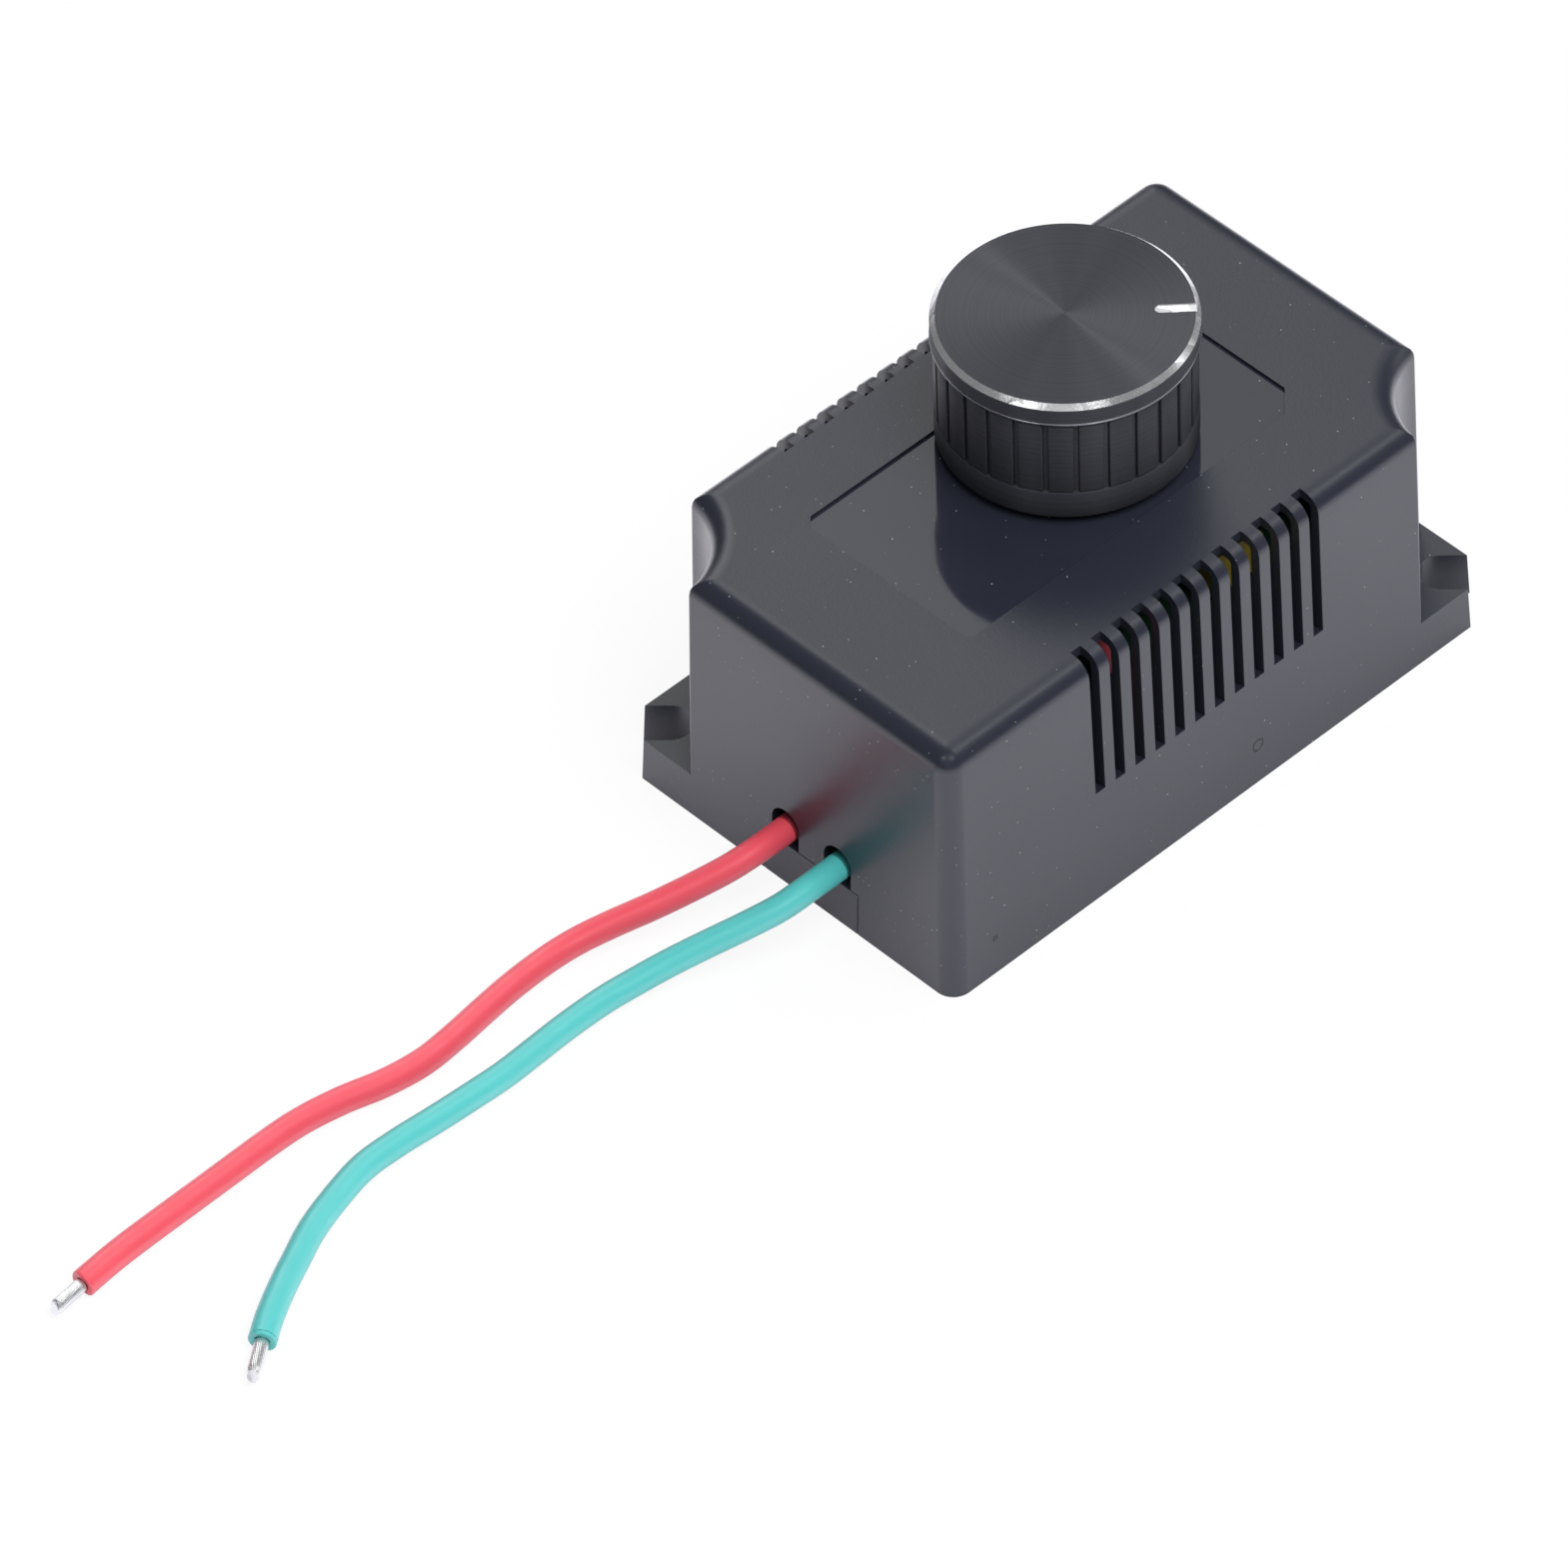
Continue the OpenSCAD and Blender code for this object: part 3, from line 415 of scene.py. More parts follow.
def smooth(piece, degrees):
    """Smooths a piece except across angles sharper than this."""
    piece.data.shade_smooth()
    piece.data.set_sharp_from_angle(angle=math.radians(degrees))


def bake_modifiers(piece):
    """Turns the piece with its modifiers into a plain mesh."""
    bpy.context.view_layer.update()
    graph = bpy.context.evaluated_depsgraph_get()
    plain = bpy.data.meshes.new_from_object(piece.evaluated_get(graph))
    piece.modifiers.clear()
    old = piece.data
    piece.data = plain
    plain.name = piece.name
    if old.users == 0:
        bpy.data.meshes.remove(old)


def turns(steps, start=0.0, end=2 * math.pi):
    """Angles at equal steps, with both ends."""
    return [start + (end - start) * k / steps for k in range(steps + 1)]


def loop_faces(count, start):
    """Faces from a loop of points to the next one of as many."""
    return [
        (start + k, start + (k + 1) % count, start + (k + 1) % count + count, start + k + count)
        for k in range(count)
    ]


# The routes of the leads are those of the model, in millimetres from the exit.
DROP_SHARES = [1, 1, 0.88, 0.68, 0.46, 0.26, 0.11, 0.03] + [0] * 13
RED_ROUTE = [
    (0, 0), (-4, 0), (-8, 0.8), (-12, 2.5), (-16, 4.5), (-20, 6.6), (-24, 8.2), (-28, 8.9),
    (-33, 8.9), (-38, 8.4), (-43, 7.8), (-48, 7.5), (-53, 8.2), (-58, 9.6), (-63, 10.5),
    (-68, 10.7), (-74, 10.6), (-80, 10.5), (-86, 10.4), (-91, 10.2), (-96, 9.7),
]
GREEN_ROUTE = [
    (0, 0), (-4, 0), (-8, 0.6), (-12, 2.3), (-16, 4.3), (-20, 6.1), (-24, 7.4), (-28, 8.2),
    (-33, 8.4), (-38, 8.2), (-43, 8), (-48, 8.2), (-53, 8.5), (-58, 8.9), (-63, 8.9),
    (-68, 7.8), (-73, 6.2), (-77, 4.3), (-81, 2.3), (-85, 0), (-88, -2.1),
]
EXIT_HEIGHT = 8.0 * MM
EXIT_YS = {"red": -0.1 * MM, "green": -8.3 * MM}
CURVE_STEPS = 6


def exit_x(case):
    return -(case.length / 2 - EXIT_HEIGHT * math.tan(case.draft))


def through(points):
    """Points on a smooth curve through the given ones."""
    found = []
    for i in range(len(points) - 1):
        a, b = points[max(i - 1, 0)], points[i]
        c, d = points[i + 1], points[min(i + 2, len(points) - 1)]
        for j in range(CURVE_STEPS):
            t = j / CURVE_STEPS
            found.append(
                0.5 * (2 * b + (c - a) * t + (2 * a - 5 * b + 4 * c - d) * t * t
                       + (3 * b - a - 3 * c + d) * t * t * t)
            )
    found.append(points[-1])
    return found


def lead_path(route, y, case, leads):
    """The middle of a free lead, from the exit down to the floor and along it."""
    rest = leads.diameter / 2
    points = through([
        Vector((exit_x(case) + dx * MM, y + dy * MM, rest + share * (EXIT_HEIGHT - rest)))
        for (dx, dy), share in zip(route, DROP_SHARES)
    ])
    for point in points:
        point.z = max(point.z, rest)
    return points


def insulation(name, path, leads, made, cut_end=True):
    """The insulation along a path. A cut end is slightly rounded and hollow round the core."""
    radius = leads.diameter / 2
    points, radii = list(path), [radius] * len(path)
    if cut_end:
        end = path[-1]
        way = (path[-1] - path[-2]).normalized()
        del points[-1], radii[-1]
        bore = leads.core / 2 + 0.02 * MM
        for back, ring in (
            (0.5, radius), (0.16, radius), (0.04, radius * 0.965), (0.0, radius * 0.9),
            (0.06, bore), (0.7, bore),
        ):
            points.append(end - way * back * MM)
            radii.append(ring)
    vertices, faces = sweep(points, radii, path, 0.16 * MM if cut_end else 0.0)
    piece = mesh_object(name, vertices, faces, [made])
    smooth(piece, 50)
    return piece


def sweep(points, radii, path, tilt):
    """Rings along a path; those that run back at its end keep its direction, and lean by tilt."""
    n = len(path) - 1
    ways = [(path[i + 1] - path[max(i - 1, 0)]).normalized() for i in range(n)]
    ways += [(path[n] - path[n - 1]).normalized()] * (len(points) - n)
    sides = 32
    vertices, faces = [], []
    side = Vector((0, 0, 1))
    for i, (here, way, radius) in enumerate(zip(points, ways, radii)):
        side = (side - side.dot(way) * way).normalized()
        across = way.cross(side)
        lean = tilt if i >= n else 0.0
        for turn in turns(sides)[:-1]:
            slip = way * lean * (math.cos(turn + 0.7) - 1 + 0.3 * math.cos(3 * turn))
            round_it = math.cos(turn) * side + math.sin(turn) * across
            vertices.append(here + radius * round_it + slip)
    last = (len(points) - 1) * sides
    for start in range(0, last, sides):
        faces += loop_faces(sides, start)
    faces += [tuple(reversed(range(sides))), tuple(range(last, last + sides))]
    return vertices, faces


def node_tree(name, counts, lengths):
    """A geometry node tree with named inputs, and those inputs inside it."""
    tree = bpy.data.node_groups.new(name, "GeometryNodeTree")
    tree.interface.new_socket("Geometry", in_out="OUTPUT", socket_type="NodeSocketGeometry")
    for labels, kind in ((counts, "NodeSocketInt"), (lengths, "NodeSocketFloat")):
        for label in labels:
            tree.interface.new_socket(label, in_out="INPUT", socket_type=kind)
    return tree, add_node(tree, "NodeGroupInput").outputs


def finish_tree(tree, shape, made):
    """Ends a tree with real geometry in one material."""
    real = output(tree, "GeometryNodeRealizeInstances", {0: shape})
    dressed = output(tree, "GeometryNodeSetMaterial", {"Geometry": real, "Material": made})
    add_node(tree, "NodeGroupOutput", {0: dressed})
    return tree


def run_tree(name, tree, values):
    """A new object made by the tree with these named values, as a plain mesh."""
    made = put_in_scene(name, bpy.data.meshes.new(name))
    modifier = made.modifiers.new("Shape", "NODES")
    modifier.node_group = tree
    for item in tree.interface.items_tree:
        if item.item_type == "SOCKET" and item.in_out == "INPUT":
            modifier[item.identifier] = values[item.name]
    bake_modifiers(made)
    bpy.data.node_groups.remove(tree)
    return made


def strands_tree(tinned):
    """Strands twisted round a core, along +Z, close enough to look soldered together."""
    tree, given = node_tree(
        "Twisted strands", ["Strands"], ["Radius", "Strand radius", "Length", "Turns"]
    )
    coil = output(tree, "GeometryNodeCurveSpiral", {
        "Resolution": 160, "Rotations": given["Turns"], "Start Radius": given["Radius"],
        "End Radius": given["Radius"], "Height": given["Length"],
    })
    round_wire = output(tree, "GeometryNodeCurvePrimitiveCircle", {
        "Resolution": 14, "Radius": given["Strand radius"],
    })
    strand = output(tree, "GeometryNodeCurveToMesh", {
        "Curve": coil, "Profile Curve": round_wire, "Fill Caps": True,
    })
    step = maths(tree, "DIVIDE", 2 * math.pi, given["Strands"])
    turn = maths(tree, "MULTIPLY", output(tree, "GeometryNodeInputIndex"), step)
    copies = output(tree, "GeometryNodeInstanceOnPoints", {
        "Points": output(tree, "GeometryNodePoints", {"Count": given["Strands"]}),
        "Instance": strand, "Rotation": output(tree, "ShaderNodeCombineXYZ", {"Z": turn}),
    })
    filled = maths(tree, "ADD", given["Radius"], maths(tree, "MULTIPLY", given["Strand radius"], 0.5))
    core = output(tree, "GeometryNodeMeshCone", {
        "Vertices": 24, "Side Segments": 18, "Radius Top": filled, "Radius Bottom": filled,
        "Depth": given["Length"],
    })
    joined = add_node(tree, "GeometryNodeJoinGeometry")
    for shape in (core, copies):
        tree.links.new(shape, joined.inputs[0])
    return finish_tree(tree, joined.outputs[0], tinned)


def grip_tree(anodised):
    """Flat pads stood in a ring round +Z, their feet at z = 0."""
    tree, given = node_tree(
        "Knob grip", ["Pads"], ["Distance", "Pad width", "Pad depth", "Height"]
    )
    extent = output(tree, "ShaderNodeCombineXYZ", {
        "X": given["Pad depth"], "Y": given["Pad width"], "Z": given["Height"],
    })
    rise = output(
        tree, "ShaderNodeCombineXYZ", {"Z": maths(tree, "DIVIDE", given["Height"], 2.0)}
    )
    lifted = output(tree, "GeometryNodeTransform", {
        "Geometry": output(tree, "GeometryNodeMeshCube", {"Size": extent}), "Translation": rise,
    })
    half_depth = maths(tree, "DIVIDE", given["Pad depth"], 2.0)
    ring = output(tree, "GeometryNodeMeshCircle", {
        "Vertices": given["Pads"],
        "Radius": maths(tree, "SUBTRACT", given["Distance"], half_depth),
    })
    outward = output(tree, "GeometryNodeInputPosition")
    facing = output(tree, "FunctionNodeAlignRotationToVector", {"Vector": outward}, axis="X")
    copies = output(tree, "GeometryNodeInstanceOnPoints", {
        "Points": ring, "Instance": lifted, "Rotation": facing,
    })
    return finish_tree(tree, copies, anodised)


def clip_tip(piece, length, lost):
    """Flattens the last stretch of the strands, as side cutters leave it, and shortens it."""
    squeezed = 1.6 * MM
    for vertex in piece.data.vertices:
        share = max((vertex.co.z - (length - squeezed)) / squeezed, 0.0)
        vertex.co.x *= 1 - 0.3 * share**2
        vertex.co.y *= 1 - 0.1 * share
        vertex.co.z -= share * (lost + 0.4 * (vertex.co.y + 0.6 * MM))


CORNER_STEPS = 8
CUSP_STEPS = 4
CUT_STEPS = 26
FILLET_STEPS = 5
HOLE_STEPS = 40
# The slot of the polished plastic among the case's materials
POLISHED = 1


def slot_reach(case, off):
    """How far an ear's slot reaches from the corner, at an angle off its middle line."""
    half, along = case.slot / 2, case.slot_in * math.cos(off)
    to_side = half / max(math.sin(off), 1e-6)
    if to_side * math.cos(off) <= case.slot_in:
        return to_side
    return along + math.sqrt(max(half**2 - (case.slot_in * math.sin(off)) ** 2, 0.0))


def ear_corner(case, lean_in, inset, ear):
    """Points round an ear's corner, as (along X side, along Y side) from the case's corner."""
    cusp = max(case.cusp - inset, 0.06 * MM)
    cut = case.cut + inset
    level = lean_in + cusp
    out = math.sqrt((cut + cusp) ** 2 - level**2)
    start = math.atan2(level, out)
    side = [
        (out + cusp * math.cos(t), level + cusp * math.sin(t))
        for t in turns(CUSP_STEPS, math.radians(270), math.pi + start)
    ]
    mouth = side[-1]
    arc = turns(CUT_STEPS + 1, start, math.pi / 2 - start)[1:-1]
    middle = [(cut * math.cos(t), cut * math.sin(t)) for t in arc]
    if ear:
        side = [(a, lean_in) for a, _ in side]
        mouth = (lean_in + case.slot / 2 * math.sqrt(2), lean_in)
        reaches = [slot_reach(case, abs(math.pi / 4 - t)) for t in arc]
        middle = [(far * math.cos(t), far * math.sin(t)) for far, t in zip(reaches, arc)]
    first = side + [mouth]
    return first + middle + [(b, a) for a, b in reversed(first)]


def vent_edges(case):
    """Both edges of each slot along X, from -X to +X."""
    half = case.vent_width / 2
    first = case.vent_x - (case.vents - 1) / 2 * case.vent_pitch
    return [first + i * case.vent_pitch + off for i in range(case.vents) for off in (-half, half)]


def case_ring(case, z, inset, ear=False):
    """The case's outline at a height, moved in by inset, counterclockwise from above."""
    lean_in = z * math.tan(case.draft) + inset
    hx, hy = case.length / 2 - lean_in, case.width / 2 - lean_in
    rounding = max(case.corner - inset, 0.3 * MM)
    edges = vent_edges(case)
    points = []
    for sign in (-1, 1):
        for t in turns(CORNER_STEPS, 0.0, math.pi / 2):
            x = hx - rounding + rounding * math.cos(t)
            y = hy - rounding + rounding * math.sin(t)
            points.append((sign * x, sign * y))
        for x in edges if sign < 0 else reversed(edges):
            points.append((x, sign * hy))
        for a, b in ear_corner(case, lean_in, inset, ear):
            points.append((-sign * (case.length / 2 - a), sign * (case.width / 2 - b)))
    return [Vector((x, y, z)) for x, y in points]


def label_outline(case):
    """The recess's outline: two chamfers of unlike size and two tight round corners."""
    x, y, tight = case.label_l / 2, case.label_w / 2, 0.5 * MM
    corners = []
    for sx, sy, cut in ((-1, -1, tight), (1, -1, 3 * MM), (1, 1, tight), (-1, 1, 1.2 * MM)):
        one, two = (sx * (x - cut), sy * y), (sx * x, sy * (y - cut))
        corners += [two, one] if sx * sy > 0 else [one, two]
    return corners


def fillet_rows(top, start, radius):
    """Heights and insets of the rings round a rounded upper edge."""
    return [
        (top - radius + radius * math.sin(t), start + radius * (1 - math.cos(t)))
        for t in turns(FILLET_STEPS, 0.0, math.pi / 2)[1:]
    ]


def fill_flat(bm, outer, hole, up, material=0):
    """Fills a flat area between two closed loops of vertices."""
    loops = [[v.co.copy() for v in loop] for loop in (outer, hole)]
    flat = outer + hole
    for triangle in tessellate_polygon(loops):
        face = bm.faces.new([flat[i] for i in triangle])
        face.normal_update()
        if (face.normal.z > 0) != up:
            face.normal_flip()
        face.material_index = material


def build_case(case, knob, materials):
    """The case as one closed shell: rings outside and inside, with the slots left open."""
    bm = bmesh.new()
    top, thin, round_in = case.height, case.thin_wall, 0.6 * MM
    under, deck = top - thin, top - 2 * MM
    # The cover sits in a rebate at the foot: its height, and the wall's thickness there.
    rebate, rebate_wall = 2 * MM, 1 * MM
    # Each row is a height, an inset and whether the ears stand out there.
    outside = [
        (0, 0, True), (case.ear, 0, True), (case.ear, 0), (case.vent_foot, 0),
        (case.ledge, 0), (case.ledge + 0.3 * MM, 0), (top - case.edge, 0),
        *fillet_rows(top, 0, case.edge), (top, case.vent_reach),
    ]
    inside = [
        (0, rebate_wall), (rebate, rebate_wall), (rebate, case.wall),
        (case.vent_foot - 0.5 * MM, case.wall), (case.ledge, case.wall),
        (case.ledge, thin), (under - round_in, thin),
        *fillet_rows(under, thin, round_in), (under, case.vent_reach),
        (deck, case.vent_reach + 1.5 * MM),
    ]
    outer = [[bm.verts.new(p) for p in case_ring(case, *row)] for row in outside]
    inner = [[bm.verts.new(p) for p in case_ring(case, *row)] for row in inside]
    count = len(outer[0])
    slots = {
        half + CORNER_STEPS + 1 + 2 * i for half in (0, count // 2) for i in range(case.vents)
    }
    foot, last = outside.index((case.vent_foot, 0)), len(outside) - 1

    def quad(*corners):
        if len(set(corners)) == 4:
            bm.faces.new(corners)

    def band(first, second):
        """Faces between two closed loops of vertices."""
        for i in range(len(first)):
            n = (i + 1) % len(first)
            quad(first[n], first[i], second[i], second[n])

    for rows, flip in ((outer, False), (inner, True)):
        for j in range(len(rows) - 1):
            for i in range(count):
                if i in slots and foot <= j < last:
                    continue
                n = (i + 1) % count
                corners = (rows[j][i], rows[j][n], rows[j + 1][n], rows[j + 1][i])
                quad(*(reversed(corners) if flip else corners))
    band(outer[0], inner[0])
    rims = []
    for i in slots:
        n = (i + 1) % count
        for j in range(foot, last):
            quad(outer[j][i], inner[j][i], inner[j + 1][i], outer[j + 1][i])
            quad(inner[j][n], outer[j][n], outer[j + 1][n], inner[j + 1][n])
            rims += [(outer[j][i], outer[j + 1][i]), (outer[j][n], outer[j + 1][n])]
        quad(outer[foot][n], inner[foot][n], inner[foot][i], outer[foot][i])
        quad(outer[last][i], inner[last][i], inner[last][n], outer[last][n])
        rims += [(outer[foot][i], outer[foot][n]), (outer[last][i], outer[last][n])]

    # The recess, and the hole for the potentiometer in its floor
    outline, hole = label_outline(case), 3.7 * MM
    circle = [
        (knob.x + hole * math.cos(t), knob.y + hole * math.sin(t)) for t in turns(HOLE_STEPS)[:-1]
    ]
    lip, floor, hole_top, hole_foot = (
        [bm.verts.new((x, y, z)) for x, y in loop]
        for loop, z in (
            (outline, top), (outline, top - case.label_depth), (circle, top - case.label_depth),
            (circle, deck),
        )
    )
    fill_flat(bm, outer[last], lip, True)
    fill_flat(bm, floor, hole_top, True, POLISHED)
    fill_flat(bm, inner[-1], hole_foot, False)
    band(lip, floor)
    band(hole_top, hole_foot)
    edges = [bm.edges.get(pair) for pair in rims]
    bmesh.ops.bevel(
        bm, geom=[e for e in edges if e], offset=0.2 * MM, offset_type="OFFSET", segments=2,
        profile=0.5, affect="EDGES", clamp_overlap=True,
    )
    weld = 0.002 * MM
    bmesh.ops.remove_doubles(bm, verts=bm.verts, dist=weld)
    bmesh.ops.dissolve_degenerate(bm, edges=bm.edges, dist=weld)
    piece = mesh_object("case_shell", [], [], materials)
    face_out(bm, piece)
    return piece


def face_out(bm, piece):
    """Turns all faces outwards, and puts the mesh into the piece."""
    bmesh.ops.recalc_face_normals(bm, faces=bm.faces)
    bm.to_mesh(piece.data)
    bm.free()


def prism(name, first, second, materials=()):
    """A closed solid between two flat outlines of as many points."""
    count = len(first)
    faces = [tuple(range(count)), tuple(range(count, 2 * count))] + loop_faces(count, 0)
    piece = mesh_object(name, first + second, faces, materials)
    bm = bmesh.new()
    bm.from_mesh(piece.data)
    face_out(bm, piece)
    return piece


def arch_cutter(case):
    """The leads' two arched openings and the notch for the cover's tab, as one solid."""
    half, tab_h, spring = 2.12 * MM, 6.0 * MM, 8.78 * MM
    tab_low, tab_high = -11.62 * MM, 3.22 * MM
    outline = [(tab_low, -1 * MM), (tab_high, -1 * MM), (tab_high, tab_h)]
    for y in EXIT_YS.values():
        arch = [(y + half * math.cos(t), spring + half * math.sin(t)) for t in turns(24, 0, math.pi)]
        outline += [(y + half, tab_h), *arch, (y - half, tab_h)]
    outline.append((tab_low, tab_h))
    before, behind = -case.length / 2 - 1 * MM, -case.length / 2 + 5 * MM
    return prism("arch_cutter", *([(x, y, z) for y, z in outline] for x in (before, behind)))


def pointer_cutter(knob, bare):
    """A round-ended groove from the pointer's start out past the rim."""
    half, past = knob.pointer_width / 2, knob.radius + 1 * MM
    outline = [
        (knob.pointer_in + half - half * math.sin(t), half * math.cos(t))
        for t in turns(16, 0, math.pi)
    ]
    outline += [(past, -half), (past, half)]
    axis = Matrix.Translation((knob.x, knob.y, knob.z + knob.height))
    turn = axis @ Matrix.Rotation(knob.pointer, 4, "Z")
    low, high = ([turn @ Vector((x, y, z)) for x, y in outline] for z in (-knob.pointer_depth, 1 * MM))
    return prism("pointer_cutter", low, high, [bare])


def subtract(piece, cutter):
    """Cuts the cutter out of the piece, and removes the cutter."""
    modifier = piece.modifiers.new("Cut", "BOOLEAN")
    modifier.operation = "DIFFERENCE"
    modifier.object = cutter
    modifier.solver = "EXACT"
    bake_modifiers(piece)
    bpy.data.objects.remove(cutter)


def revolve(name, profile, centre, materials, steps=160):
    """A profile of (radius, height, material after this point) turned about an upright axis."""
    vertices, faces, kinds, rows = [], [], [], []
    for r, z, _ in profile:
        start = len(vertices)
        # A point on the axis is one vertex for the whole ring.
        around = turns(steps)[:-1] if r > 0 else [0.0]
        vertices += [
            (centre[0] + r * math.cos(t), centre[1] + r * math.sin(t), centre[2] + z)
            for t in around
        ]
        rows.append([start + k % len(around) for k in range(steps)])
    for j in range(len(rows) - 1):
        for k in range(steps):
            n = (k + 1) % steps
            corners = (rows[j][k], rows[j][n], rows[j + 1][n], rows[j + 1][k])
            corners = tuple(dict.fromkeys(corners))
            if len(corners) > 2:
                faces.append(corners)
                kinds.append(profile[j][2])
    piece = mesh_object(name, vertices, faces, materials)
    for face, kind in zip(piece.data.polygons, kinds):
        face.material_index = kind
    return piece


# The slots of the knob's materials
SIDE, FACE, CUT, PAINTED_HIGHLIGHT = range(4)


def knob_profile(knob):
    """The shell's section: up the outside, over the top and down the inside."""
    r, h, inner = knob.radius, knob.height, knob.radius - knob.wall
    foot_r, foot = knob.pad + knob.foot_step, knob.foot_band
    core, band, face = knob.pad - knob.groove_depth, h - knob.top_band, r - 0.07 * MM
    return [
        # The foot's band, with both its edges broken
        (inner, 0, SIDE), (foot_r - 0.3 * MM, 0, SIDE), (foot_r - 0.08 * MM, 0.09 * MM, SIDE),
        (foot_r, 0.3 * MM, SIDE), (foot_r, foot - 0.14 * MM, SIDE),
        (foot_r - 0.05 * MM, foot - 0.04 * MM, SIDE), (foot_r - 0.14 * MM, foot, SIDE),
        # The floor of the grooves
        (core, foot, SIDE), (core, band, SIDE),
        # The bead under the top's band, in a light colour: a painted highlight
        (r - 0.1 * MM, band, PAINTED_HIGHLIGHT), (r - 0.02 * MM, band + 0.04 * MM, PAINTED_HIGHLIGHT),
        (r, band + 0.1 * MM, PAINTED_HIGHLIGHT), (r - 0.01 * MM, band + 0.15 * MM, PAINTED_HIGHLIGHT),
        (r - 0.06 * MM, band + 0.2 * MM, PAINTED_HIGHLIGHT), (face, band + 0.24 * MM, SIDE),
        # The diamond-cut rim and the turned face
        (face, h - 0.62 * MM, SIDE), (r - 0.11 * MM, h - 0.58 * MM, CUT), (r - 0.7 * MM, h, FACE),
        (r * 0.62, h, FACE), (r * 0.3, h, FACE), (r * 0.08, h, FACE), (0, h, SIDE),
        # The inside
        (0, h - 1.6 * MM, SIDE), (inner, h - 1.6 * MM, SIDE), (inner, 0, SIDE),
    ]


def dress(name, made):
    """Gives a node of the model its material, without touching its mesh."""
    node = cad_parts[name]
    if not node.material_slots:
        node.data.materials.append(made)
    for held in node.material_slots:
        held.link = "OBJECT"
        held.material = made


def inner_path(label, case, leads):
    """The lead's way inside the case, worked out in millimetres as in the model."""
    d, x, y, z = (v / MM for v in (leads.diameter, exit_x(case), EXIT_YS[label], EXIT_HEIGHT))
    top_in, board_top = case.height / MM - 2, 24.4
    points = [(x, y, z), (x + d, y, z), (x + 2 * d, y, z)]
    if label == "green":
        # The green lead turns up behind the end wall, to the underside of the board.
        gx, gz = x + 10.4, board_top - 1.6
        points += [(gx - d / 4, y, z + d * 0.7), (gx, y, z + 2 * d), (gx, y, gz - d), (gx, y, gz)]
        return [p * MM for p in through([Vector(p) for p in points])]
    # The red lead climbs close to the slots, and hooks over to the board.
    rx, hook = -12.9, 4.2
    ry = -(case.width / MM / 2 - top_in * math.tan(case.draft) - 2 - d / 2 - 0.5)
    hz = top_in - 0.5 - d / 2 - hook
    points += [
        (-30, -0.6, z), (-25, -4, 8.4), (-21, -10, 9.2), (-17.5, -16, 11), (rx - 1, ry + 1, 14.5),
        (rx, ry, 19), (rx, ry, hz),
    ]
    points = through([Vector(p) for p in points])
    for t in turns(12, 0, math.pi)[1:]:
        points.append(Vector((rx, ry + hook - hook * math.cos(t), hz + hook * math.sin(t))))
    points += [Vector((rx, ry + 2 * hook, board_top + (hz - board_top) * s)) for s in (0.5, 0)]
    return [p * MM for p in points]


def ride(piece, body, stands_for):
    """The piece moves with a body, in place of a node of the model, which it hides."""
    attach(piece, body)
    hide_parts(stands_for)


class ControllerOperator:
    """What the operators share."""

    bl_options = {"REGISTER", "UNDO"}


class CONTROLLER_OT_camera(ControllerOperator, bpy.types.Operator):
    """Sets up the camera at the photograph's angle."""

    bl_idname = "controller.camera"
    bl_label = "Camera"

    def execute(self, context):
        stage = context.scene.controller_stage
        a, e, roll = stage.azimuth, stage.elevation, stage.roll
        back = Vector((math.sin(a) * math.cos(e), -math.cos(a) * math.cos(e), math.sin(e)))
        right = (-back).cross(Vector((0, 0, 1))).normalized()
        up = right.cross(-back)
        right, up = (
            math.cos(roll) * right + math.sin(roll) * up,
            math.cos(roll) * up - math.sin(roll) * right,
        )
        data = bpy.data.cameras.new("camera")
        data.sensor_width = SENSOR
        data.lens = stage.lens
        data.clip_start, data.clip_end = 0.1, 10
        camera = put_in_scene("camera", data)
        turned = Matrix((right, up, back)).transposed().to_4x4()
        spot = back * stage.distance + right * stage.side + up * stage.up
        camera.matrix_world = Matrix.Translation(spot) @ turned
        context.scene.camera = camera
        return {"FINISHED"}


class CONTROLLER_OT_leads(ControllerOperator, bpy.types.Operator):
    """Makes both free leads with their bare stranded ends."""

    bl_idname = "controller.leads"
    bl_label = "Leads"

    def execute(self, context):
        case, leads = context.scene.controller_case, context.scene.controller_leads
        # A film of flux on the tin gives back part of the light as paint would.
        tinned = bright_metal("Tinned copper", leads.tin, 0.24, 0.7, 0.006, 0.8)
        strand = 0.31 * MM
        for label, route, colour, lost in (
            ("red", RED_ROUTE, leads.red, 0.9 * MM), ("green", GREEN_ROUTE, leads.green, 0.3 * MM),
        ):
            path = lead_path(route, EXIT_YS[label], case, leads)
            piece = insulation(f"{label}_lead", path, leads, soft_pvc(f"Soft PVC {label}", colour))
            strands = run_tree(f"{label}_strands", strands_tree(tinned), {
                "Strands": leads.strands, "Radius": leads.core / 2 - strand - 0.01 * MM,
                "Strand radius": strand, "Length": leads.bare, "Turns": 0.12,
            })
            clip_tip(strands, leads.bare, lost)
            turn = (path[-1] - path[-2]).to_track_quat("Z", "Y").to_matrix().to_4x4()
            strands.data.transform(Matrix.Translation(path[-1]) @ turn)
            smooth(strands, 40)
            ride(piece, "case", f"{label}_wire")
            ride(strands, "case", f"{label}_conductor")
            # Inside the case the leads are darker than real ones, to look as deep in shade
            # through the slots as they do in the photograph.
            painted_shade_pvc = soft_pvc(f"Soft PVC {label} dulled", [c * 0.35 for c in colour[:3]])
            way_in = inner_path(label, case, leads)
            inner = insulation(f"{label}_lead_inside", way_in, leads, painted_shade_pvc, False)
            ride(inner, "case", f"{label}_lead_inner")
        return {"FINISHED"}


